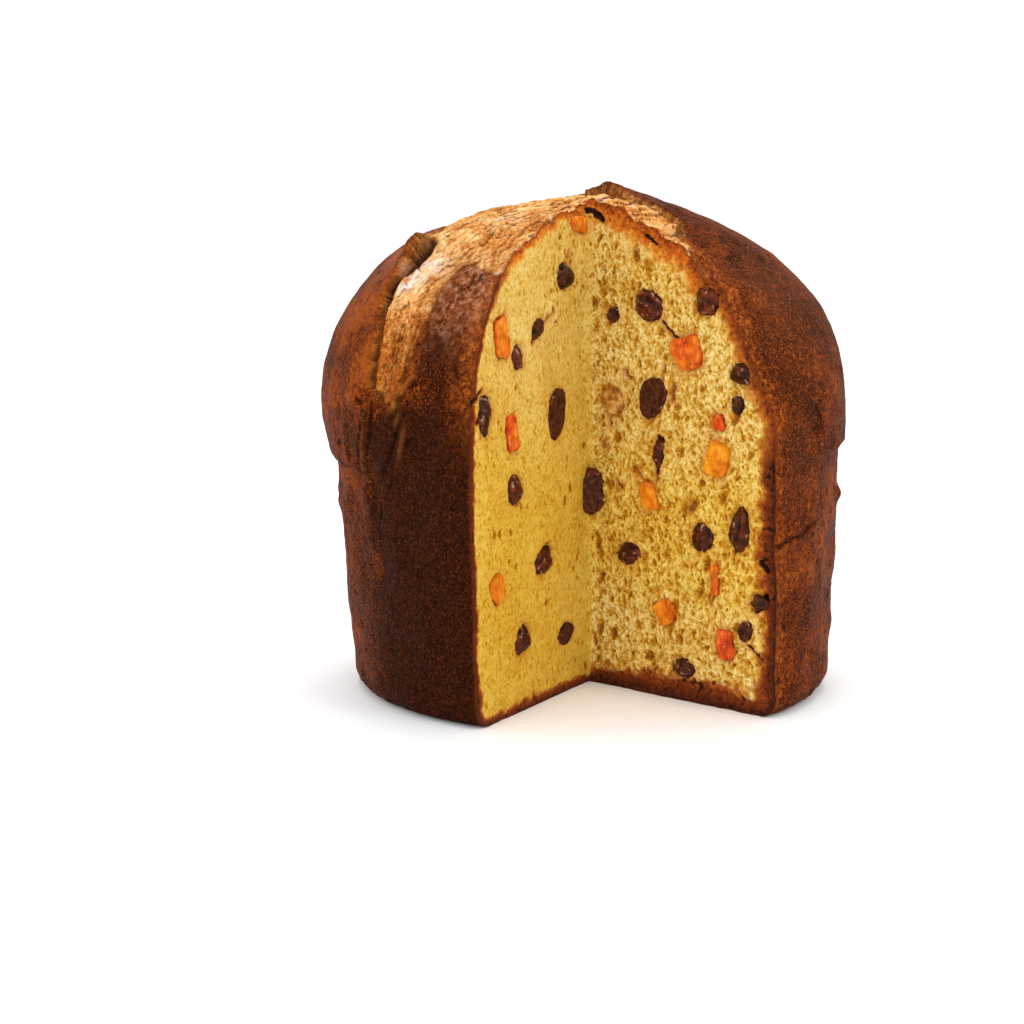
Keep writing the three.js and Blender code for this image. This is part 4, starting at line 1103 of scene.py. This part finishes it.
class Mat:
    def __init__(self, name):
        self.m = bpy.data.materials.new(name)
        self.m.use_nodes = True
        self.t = self.m.node_tree
        self.t.nodes.clear()
        self.out = self.t.nodes.new("ShaderNodeOutputMaterial")
        self.bsdf = self.t.nodes.new("ShaderNodeBsdfPrincipled")
        self.t.links.new(self.bsdf.outputs[0], self.out.inputs[0])
        self.coord = self.t.nodes.new("ShaderNodeTexCoord").outputs["Object"]

    def link(self, a, b):
        self.t.links.new(a, b)

    def node(self, kind, **inputs):
        n = self.t.nodes.new(kind)
        for k, v in inputs.items():
            if hasattr(v, "is_output") or isinstance(v, bpy.types.NodeSocket):
                self.link(v, n.inputs[k])
            else:
                n.inputs[k].default_value = v
        return n

    def attr(self, name):
        n = self.t.nodes.new("ShaderNodeAttribute")
        n.attribute_name = name
        return n.outputs["Fac"]

    def noise(self, scale, detail=3.0, rough=0.55, distortion=0.0, where=None):
        n = self.node("ShaderNodeTexNoise", Vector=where or self.coord, Scale=scale, Detail=detail, Roughness=rough, Distortion=distortion)
        return n.outputs["Fac"]

    def voronoi(self, scale, feature="F1", where=None, randomness=1.0):
        n = self.t.nodes.new("ShaderNodeTexVoronoi")
        n.feature = feature
        self.link(where or self.coord, n.inputs["Vector"])
        n.inputs["Scale"].default_value = scale
        n.inputs["Randomness"].default_value = randomness
        return n.outputs["Distance"]

    def math(self, op, a, b=0.0, c=0.0, clamp=False):
        n = self.t.nodes.new("ShaderNodeMath")
        n.operation = op
        n.use_clamp = clamp
        for i, v in enumerate((a, b, c)):
            if isinstance(v, bpy.types.NodeSocket):
                self.link(v, n.inputs[i])
            elif i < len(n.inputs):
                n.inputs[i].default_value = v
        return n.outputs[0]

    def span(self, v, lo, hi, to_lo=0.0, to_hi=1.0):
        n = self.t.nodes.new("ShaderNodeMapRange")
        n.interpolation_type = "SMOOTHSTEP"
        self.link(v, n.inputs["Value"])
        n.inputs["From Min"].default_value = lo
        n.inputs["From Max"].default_value = hi
        n.inputs["To Min"].default_value = to_lo
        n.inputs["To Max"].default_value = to_hi
        return n.outputs["Result"]

    def ramp(self, v, stops):
        n = self.t.nodes.new("ShaderNodeValToRGB")
        el = n.color_ramp.elements
        while len(el) > 1:
            el.remove(el[-1])
        el[0].position, el[0].color = stops[0]
        for pos, col in stops[1:]:
            e = el.new(pos)
            e.color = col
        self.link(v, n.inputs["Fac"])
        return n.outputs["Color"]

    def mix(self, fac, a, b, mode="MIX"):
        n = self.t.nodes.new("ShaderNodeMix")
        n.data_type = "RGBA"
        n.blend_type = mode
        for key, v in (("Factor", fac), ("A", a), ("B", b)):
            sock = [s for s in n.inputs if s.name == key and (s.type == "RGBA" if key != "Factor" else s.type == "VALUE")][0]
            if isinstance(v, bpy.types.NodeSocket):
                self.link(v, sock)
            else:
                sock.default_value = v
        return [o for o in n.outputs if o.type == "RGBA"][0]

    def bump(self, height, distance, strength=1.0, normal=None):
        n = self.t.nodes.new("ShaderNodeBump")
        n.inputs["Strength"].default_value = strength
        n.inputs["Distance"].default_value = distance
        self.link(height, n.inputs["Height"])
        if normal is not None:
            self.link(normal, n.inputs["Normal"])
        return n.outputs["Normal"]

    def set(self, **values):
        for k, v in values.items():
            s = self.bsdf.inputs[k.replace("_", " ")]
            if isinstance(v, bpy.types.NodeSocket):
                self.link(v, s)
            else:
                s.default_value = v
        return self.m


def crust_material():
    m = Mat("baked_crust")
    torn, pale, shading_and_blisters, gloss_and_painted_highlight, floury, cut, crack, bake_and_painted_shading, gloss_and_painted_sheen, rust, ridge = (m.attr(k) for k in (
        "torn", "pale", "painted_shading_and_blisters", "gloss_and_painted_highlight", "floury", "cut", "crack", "bake_and_painted_shading", "gloss_and_painted_sheen", "rust", "ridge"))
    drawn = m.node("ShaderNodeMapping", Vector=m.coord, Scale=(1.0, 1.0, 0.85)).outputs["Vector"]
    big = m.noise(26, 3, 0.6)
    mid = m.noise(150, 4, 0.62)
    fine = m.noise(760, 4, 0.68, 0.6, drawn)
    fleck = m.noise(1500, 3, 0.6, 0.3, drawn)
    v = m.math("ADD", m.math("MULTIPLY", m.math("SUBTRACT", big, 0.5), 0.34),
               m.math("ADD", m.math("MULTIPLY", m.math("SUBTRACT", mid, 0.5), 0.42), m.math("MULTIPLY", m.math("SUBTRACT", fine, 0.5), 1.25)))
    v = m.math("SUBTRACT", m.math("ADD", v, 0.5), m.math("MULTIPLY", bake_and_painted_shading, 0.27))
    brown = m.ramp(v, [(0.16, srgb(22, 8, 4)), (0.36, srgb(50, 19, 7)), (0.50, srgb(80, 32, 10)), (0.62, srgb(109, 47, 15)), (0.78, srgb(156, 80, 27))])
    brown = m.mix(m.math("MULTIPLY", m.span(fleck, 0.56, 0.65), 0.65), brown, srgb(160, 78, 24))
    brown = m.mix(m.math("MULTIPLY", m.span(m.noise(1150, 2, 0.5), 0.60, 0.70), 0.8), brown, srgb(30, 13, 9))
    speck = m.noise(2300, 2, 0.5)
    brown = m.mix(m.math("MULTIPLY", m.span(speck, 0.62, 0.68), 0.75), brown, srgb(198, 114, 38))
    brown = m.mix(m.math("MULTIPLY", m.span(speck, 0.37, 0.32), 0.8), brown, srgb(16, 8, 8))
    brown = m.mix(m.math("MULTIPLY", m.span(bake_and_painted_shading, 0.35, 1.2), 0.75), brown, m.ramp(m.noise(900, 3, 0.6), [(0.35, srgb(30, 11, 7)), (0.55, srgb(50, 20, 11)), (0.72, srgb(88, 38, 17))]))
    brown = m.mix(1.0, brown, (0.98, 0.86, 0.66, 1), "MULTIPLY")
    # torn crumb on the top: tan strands with rusty hollows
    tv = m.math("ADD", m.math("MULTIPLY", m.math("SUBTRACT", m.noise(150, 4, 0.62, 0.6), 0.5), 0.75), m.math("ADD", 0.52, m.math("MULTIPLY", m.math("SUBTRACT", m.noise(1000, 4, 0.72), 0.5), 1.15)))
    tan = m.ramp(tv, [(0.20, srgb(156, 78, 26)), (0.36, srgb(210, 132, 58)), (0.49, srgb(236, 174, 96)), (0.62, srgb(246, 202, 136)), (0.80, srgb(252, 228, 186))])
    rusty = m.ramp(tv, [(0.22, srgb(106, 46, 14)), (0.40, srgb(166, 84, 28)), (0.52, srgb(206, 120, 44)), (0.66, srgb(230, 158, 76)), (0.80, srgb(244, 196, 120))])
    tan = m.mix(pale, rusty, tan)
    tan = m.mix(m.math("MULTIPLY", floury, 0.85), tan, srgb(246, 232, 216))
    tan = m.mix(m.math("MULTIPLY", m.span(m.noise(1100, 3, 0.6), 0.60, 0.68), 0.75), tan, srgb(122, 52, 16))
    col = m.mix(torn, brown, tan)
    col = m.mix(m.math("MULTIPLY", rust, 0.66), col, m.ramp(fine, [(0.38, srgb(96, 38, 12)), (0.50, srgb(150, 68, 20)), (0.62, srgb(204, 114, 38))]))
    # painted highlights mottling the glossy patch's reddish colour
    col = m.mix(m.math("MULTIPLY", gloss_and_painted_highlight, 0.72), col, m.ramp(m.noise(520, 4, 0.66), [(0.34, srgb(70, 29, 15)), (0.47, srgb(136, 72, 40)), (0.58, srgb(184, 122, 86)), (0.70, srgb(216, 172, 142))]))
    # painted highlight on raised spots
    col = m.mix(m.math("MULTIPLY", m.span(shading_and_blisters, -0.15, -0.9), 0.28), col, srgb(190, 112, 56))
    # painted highlight on the ridges
    col = m.mix(m.math("MULTIPLY", ridge, 0.25), col, srgb(170, 96, 48))
    # the colour of painted shade, darker on the brown crust than on the torn band
    dark = m.mix(torn, srgb(24, 10, 7), srgb(104, 44, 14))
    # painted shade in hollows, creases, cracks and gaps, and the dark blister spots, darkest where deepest
    col = m.mix(m.math("MULTIPLY", m.span(shading_and_blisters, 0.05, 0.9), 0.72), col, dark)
    col = m.mix(m.math("MULTIPLY", m.span(shading_and_blisters, 0.85, 1.3), 0.8), col, srgb(20, 8, 6))
    # painted shade in the cracks of the torn band
    col = m.mix(m.math("MULTIPLY", crack, 0.6), col, srgb(122, 54, 18))
    col = m.mix(m.math("MULTIPLY", m.span(cut, 0.5, 1.0), 0.55), col, srgb(112, 50, 18))
    # painted sheen: a lighter, greyer colour where highlights fall; these places are also a little less rough
    col = m.mix(m.math("MULTIPLY", gloss_and_painted_sheen, 0.13), col, srgb(142, 88, 60))
    rough = m.math("SUBTRACT", m.span(m.math("ADD", fine, m.math("MULTIPLY", torn, 0.4)), 0.3, 0.9, 0.44, 0.80), m.math("MULTIPLY", m.math("ADD", gloss_and_painted_sheen, gloss_and_painted_highlight), 0.10))
    h = m.math("ADD", m.math("MULTIPLY", fine, 1.3), m.math("ADD", m.math("MULTIPLY", fleck, 0.6), m.math("MULTIPLY", m.voronoi(900), 0.5)))
    return m.set(Base_Color=col, Roughness=rough, Normal=m.bump(h, 0.0007, 0.95), Specular_IOR_Level=0.022, Specular_Tint=(1.0, 0.74, 0.5, 1))


def crumb_material():
    m = Mat("open_crumb")
    pit, stain, dark, rim, gold, close, warm = (m.attr(k) for k in ("pit", "stain", "dark", "rim", "gold", "close", "warm"))
    big = m.noise(38, 3, 0.55)
    mid = m.noise(270, 3, 0.6)
    fine = m.noise(1250, 3, 0.62)
    # pores finer than the relief, coloured darker as painted shade and bumped
    drawn = m.node("ShaderNodeMapping", Vector=m.coord, Scale=(1.0, 1.0, 0.6)).outputs["Vector"]
    warped = m.node("ShaderNodeVectorMath", **{})
    warped.operation = "ADD"
    m.link(drawn, warped.inputs[0])
    scaled = m.t.nodes.new("ShaderNodeVectorMath")
    scaled.operation = "SCALE"
    scaled.inputs["Scale"].default_value = 0.0011
    cn = m.node("ShaderNodeTexNoise", Vector=m.coord, Scale=900, Detail=2)
    m.link(cn.outputs["Color"], scaled.inputs[0])
    m.link(scaled.outputs[0], warped.inputs[1])
    tiny = m.span(m.voronoi(1050, "F1", warped.outputs[0]), 0.34, 0.12)
    # painted shade: deeper pores are coloured darker and more golden
    v = m.math("ADD", m.math("MULTIPLY", pit, 0.62), m.math("ADD", m.math("MULTIPLY", m.math("SUBTRACT", mid, 0.5), 0.34),
               m.math("ADD", m.math("MULTIPLY", m.math("SUBTRACT", big, 0.5), 0.30), m.math("MULTIPLY", m.math("SUBTRACT", fine, 0.5), m.math("ADD", 0.42, m.math("MULTIPLY", close, 0.38))))))
    v = m.math("ADD", v, m.math("ADD", m.math("MULTIPLY", tiny, m.math("ADD", 0.14, m.math("MULTIPLY", close, 0.22))), m.math("MULTIPLY", close, -0.02)))
    # painted shade: the left face (close 0) is coloured darker than the right face
    v = m.math("ADD", v, m.math("SUBTRACT", 0.19, m.math("MULTIPLY", close, 0.11)))
    col = m.ramp(v, [(0.0, srgb(236, 214, 158)), (0.12, srgb(226, 194, 122)), (0.26, srgb(214, 172, 84)), (0.42, srgb(198, 146, 50)), (0.62, srgb(172, 112, 28)), (0.85, srgb(132, 76, 18)), (1.0, srgb(104, 54, 14))])
    col = m.mix(warm, col, m.mix(1.0, col, (0.95, 0.87, 0.40, 1), "MULTIPLY"))
    col = m.mix(1.0, col, (0.965, 0.975, 0.80, 1), "MULTIPLY")
    col = m.mix(m.math("MULTIPLY", stain, 0.7), col, srgb(188, 106, 32))
    brown = m.ramp(m.math("ADD", rim, m.math("MULTIPLY", m.math("SUBTRACT", m.noise(760, 4, 0.72), 0.5), 0.95)),
                   [(0.0, srgb(212, 156, 66)), (0.15, srgb(198, 122, 36)), (0.32, srgb(162, 78, 20)), (0.55, srgb(124, 52, 15)), (0.80, srgb(88, 35, 12)), (1.0, srgb(54, 21, 9))])
    tan = m.ramp(m.math("ADD", rim, m.math("MULTIPLY", m.math("SUBTRACT", m.noise(700, 4, 0.72), 0.5), 1.5)),
                 [(0.0, srgb(232, 196, 118)), (0.22, srgb(222, 162, 66)), (0.46, srgb(210, 126, 36)), (0.72, srgb(190, 94, 24)), (1.0, srgb(134, 56, 16))])
    edge = m.mix(gold, brown, tan)
    col = m.mix(m.span(m.math("ADD", rim, m.math("MULTIPLY", m.math("SUBTRACT", mid, 0.5), 0.7)), 0.02, 0.48), col, edge)
    col = m.mix(m.math("MULTIPLY", m.span(m.noise(980, 3, 0.6), 0.59, 0.66), m.math("MULTIPLY", m.span(rim, 0.25, 0.75), 0.75)), col, srgb(52, 22, 9))
    # painted shade in deep pores near the crust
    col = m.mix(m.math("MULTIPLY", m.span(pit, 0.45, 1.1), m.math("MULTIPLY", m.span(rim, 0.1, 0.6), 0.6)), col, srgb(58, 24, 10))
    # painted shade in gaps, slits, holes and under the corner raisin, with one stain spot
    deep = m.ramp(dark, [(0.10, srgb(150, 82, 26)), (0.40, srgb(100, 46, 16)), (0.80, srgb(32, 13, 7))])
    col = m.mix(m.span(dark, 0.06, 0.62), col, deep)
    h = m.math("ADD", m.math("MULTIPLY", fine, 1.0), m.math("MULTIPLY", tiny, -0.8))
    return m.set(Base_Color=col, Roughness=m.span(fine, 0.3, 0.7, 0.62, 0.82), Normal=m.bump(h, 0.0006, 0.8), Specular_IOR_Level=0.10,
                 Subsurface_Weight=0.10, Subsurface_Radius=(1.0, 0.5, 0.2), Subsurface_Scale=0.0009)


def raisin_material():
    m = Mat("raisin_skin")
    wr, tone, sliced = m.attr("wrinkle"), m.attr("tone"), m.attr("sliced")
    n = m.noise(420, 5, 0.7, 0.4)
    dark = m.ramp(n, [(0.32, srgb(20, 8, 5)), (0.48, srgb(46, 18, 9)), (0.60, srgb(78, 32, 15)), (0.74, srgb(124, 58, 30))])
    light = m.ramp(n, [(0.32, srgb(42, 14, 7)), (0.48, srgb(82, 29, 12)), (0.60, srgb(112, 44, 18)), (0.74, srgb(154, 76, 36))])
    col = m.mix(tone, dark, light)
    flesh = m.ramp(m.noise(800, 3, 0.62), [(0.32, srgb(40, 17, 9)), (0.5, srgb(66, 30, 15)), (0.66, srgb(92, 46, 24)), (0.8, srgb(124, 70, 38))])
    col = m.mix(sliced, col, flesh)
    # painted shade in the wrinkles' valleys and a painted highlight on their ridges
    col = m.mix(m.span(wr, 0.42, 0.1, 0, 0.8), col, srgb(16, 6, 4))
    col = m.mix(m.span(wr, 0.66, 0.95, 0, 0.4), col, srgb(156, 76, 40))
    # painted highlights: light flecks on the wrinkle ridges
    painted_shine = m.math("MULTIPLY", m.span(m.noise(640, 3, 0.5), 0.56, 0.64), m.math("MULTIPLY", m.span(wr, 0.50, 0.80), m.math("SUBTRACT", 0.75, m.math("MULTIPLY", sliced, 0.75))))
    col = m.mix(painted_shine, col, srgb(206, 156, 132))
    rough = m.math("ADD", m.span(n, 0.3, 0.7, 0.16, 0.36), m.math("MULTIPLY", sliced, 0.35))
    return m.set(Base_Color=col, Roughness=rough, Normal=m.bump(m.noise(1400, 3, 0.62), 0.0003, 0.6), Specular_IOR_Level=0.16, Specular_Tint=(1.0, 0.8, 0.62, 1))


def sultana_material():
    m = Mat("sultana_flesh")
    wr = m.attr("wrinkle")
    n = m.noise(300, 4, 0.6)
    col = m.ramp(n, [(0.34, srgb(126, 66, 16)), (0.47, srgb(170, 110, 36)), (0.58, srgb(204, 154, 74)), (0.70, srgb(226, 190, 122))])
    # painted shade in the wrinkles' valleys
    col = m.mix(m.span(wr, 0.35, 0.0, 0, 0.7), col, srgb(104, 50, 16))
    return m.set(Base_Color=col, Roughness=m.span(n, 0.3, 0.7, 0.30, 0.5), Normal=m.bump(m.noise(1300, 3, 0.6), 0.0003, 0.5), Specular_IOR_Level=0.2,
                 Subsurface_Weight=0.2, Subsurface_Radius=(1.0, 0.6, 0.2), Subsurface_Scale=0.0015)


def peel_material():
    m = Mat("candied_peel")
    tone = m.attr("tone")
    n = m.noise(260, 4, 0.6)
    red = m.ramp(n, [(0.33, srgb(146, 38, 10)), (0.50, srgb(194, 62, 17)), (0.68, srgb(224, 98, 30))])
    amber = m.ramp(n, [(0.33, srgb(190, 96, 8)), (0.50, srgb(220, 134, 10)), (0.68, srgb(238, 168, 34))])
    shift = m.math("MULTIPLY", m.math("SUBTRACT", m.noise(135, 2, 0.5), 0.5), 1.3)
    col = m.mix(m.math("ADD", tone, shift, 0.0, True), red, amber)
    streak = m.node("ShaderNodeMapping", Vector=m.coord, Scale=(1.0, 1.0, 0.3)).outputs["Vector"]
    col = m.mix(m.span(m.noise(760, 3, 0.55, 1.0, streak), 0.56, 0.68, 0, 0.5), col, srgb(240, 172, 70))
    col = m.mix(m.span(m.noise(180, 2, 0.5), 0.60, 0.74, 0, 0.5), col, srgb(150, 54, 14))
    return m.set(Base_Color=col, Roughness=m.span(n, 0.3, 0.7, 0.30, 0.55), Normal=m.bump(m.noise(1200, 4, 0.65), 0.0004, 0.7), Specular_IOR_Level=0.14,
                 Subsurface_Weight=0.22, Subsurface_Radius=(1.0, 0.4, 0.1), Subsurface_Scale=0.0018)


# ------------------------------------------------------------------ build
crust_mat, crumb_mat = crust_material(), crumb_material()
raisin_mat, sultana_mat, peel_mat = raisin_material(), sultana_material(), peel_material()
for obj in (crust_piece("crust_right", 1, crust_mat), crust_piece("crust_left", -1, crust_mat),
            crumb_piece("crumb_right", 1, crumb_mat), crumb_piece("crumb_left", -1, crumb_mat)):
    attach(obj, "root")
    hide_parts("loaf")
SLOTS = {"raisin": ("raisin", raisin_mat), "sultana": ("sultana", sultana_mat), "peel": ("candied_peel", peel_mat)}
for k, (name, kind, side, u, z, w, h, d, tilt, out, flat, tone) in enumerate(FRUIT):
    f = faces[side]
    depth = -0.12 * d if flat else out - d / 2
    centre = A0 + u * f.along + z * UP + depth * f.out
    a = tilt * DEG
    bx = math.cos(a) * f.wide + math.sin(a) * UP
    by = -math.sin(a) * f.wide + math.cos(a) * UP
    obj = fruit_piece(name, kind, w, h, d, (bx, by, f.out), centre, k, tone, out - depth if flat else None, SLOTS[kind][1])
    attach(obj, "root")
    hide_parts(name)
z0, w, h, d, forward, front = CORNER_RAISIN
a = -6 * DEG
obj = fruit_piece("raisin_corner", "raisin", w, h, d, (np.array([math.cos(a), 0, math.sin(a)]), np.array([-math.sin(a), 0, math.cos(a)]), np.array([0, -1.0, 0])),
                  np.array([0, -CUT_APEX - forward, z0]), 40, 0.6, front, raisin_mat)
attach(obj, "root")
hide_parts("raisin_corner")

# ------------------------------------------------------------------ studio
floor_mesh = bpy.data.meshes.new("floor")
floor_mesh.from_pydata([(-3, -3, 0), (3, -3, 0), (3, 3, 0), (-3, 3, 0)], [], [(0, 1, 2, 3)])
floor = bpy.data.objects.new("floor", floor_mesh)
bpy.context.scene.collection.objects.link(floor)
fm = Mat("floor_white")
fm.set(Base_Color=(0.95, 0.95, 0.95, 1), Roughness=0.8, Specular_IOR_Level=0.1)
floor_mesh.materials.append(fm.m)


def area(name, at, aim, size, power, colour=(1, 1, 1)):
    light = bpy.data.lights.new(name, "AREA")
    light.shape = "RECTANGLE"
    light.size, light.size_y = size
    light.energy = power
    light.color = colour
    o = bpy.data.objects.new(name, light)
    o.location = at
    o.rotation_euler = (Vector(aim) - Vector(at)).to_track_quat("-Z", "Y").to_euler()
    bpy.context.scene.collection.objects.link(o)


area("key", (0.75, -0.85, 0.85), (0, 0, 0.08), (0.45, 0.45), 4.4, (1.0, 0.985, 0.96))
area("fill", (-0.85, -0.95, 0.55), (0, 0, 0.07), (0.7, 0.7), 4.8, (0.99, 0.985, 0.98))
area("top", (0.1, 0.5, 1.1), (0, 0, 0.1), (0.9, 0.6), 6)
world = bpy.data.worlds.new("studio")
world.use_nodes = True
world.node_tree.nodes["Background"].inputs["Color"].default_value = (1, 1, 1, 1)
world.node_tree.nodes["Background"].inputs["Strength"].default_value = 1.06
bpy.context.scene.world = world

cam = bpy.data.cameras.new("camera")
cam.lens = CAMERA_LENS
cam.sensor_width = 36
cam.clip_start = 0.05
cam_obj = bpy.data.objects.new("camera", cam)
cam_obj.location = CAMERA_AT
cam_obj.rotation_euler = ((90 + CAMERA_PITCH) * DEG, 0, CAMERA_YAW * DEG)
bpy.context.scene.collection.objects.link(cam_obj)
bpy.context.scene.camera = cam_obj
bpy.context.scene.view_settings.view_transform = "Standard"
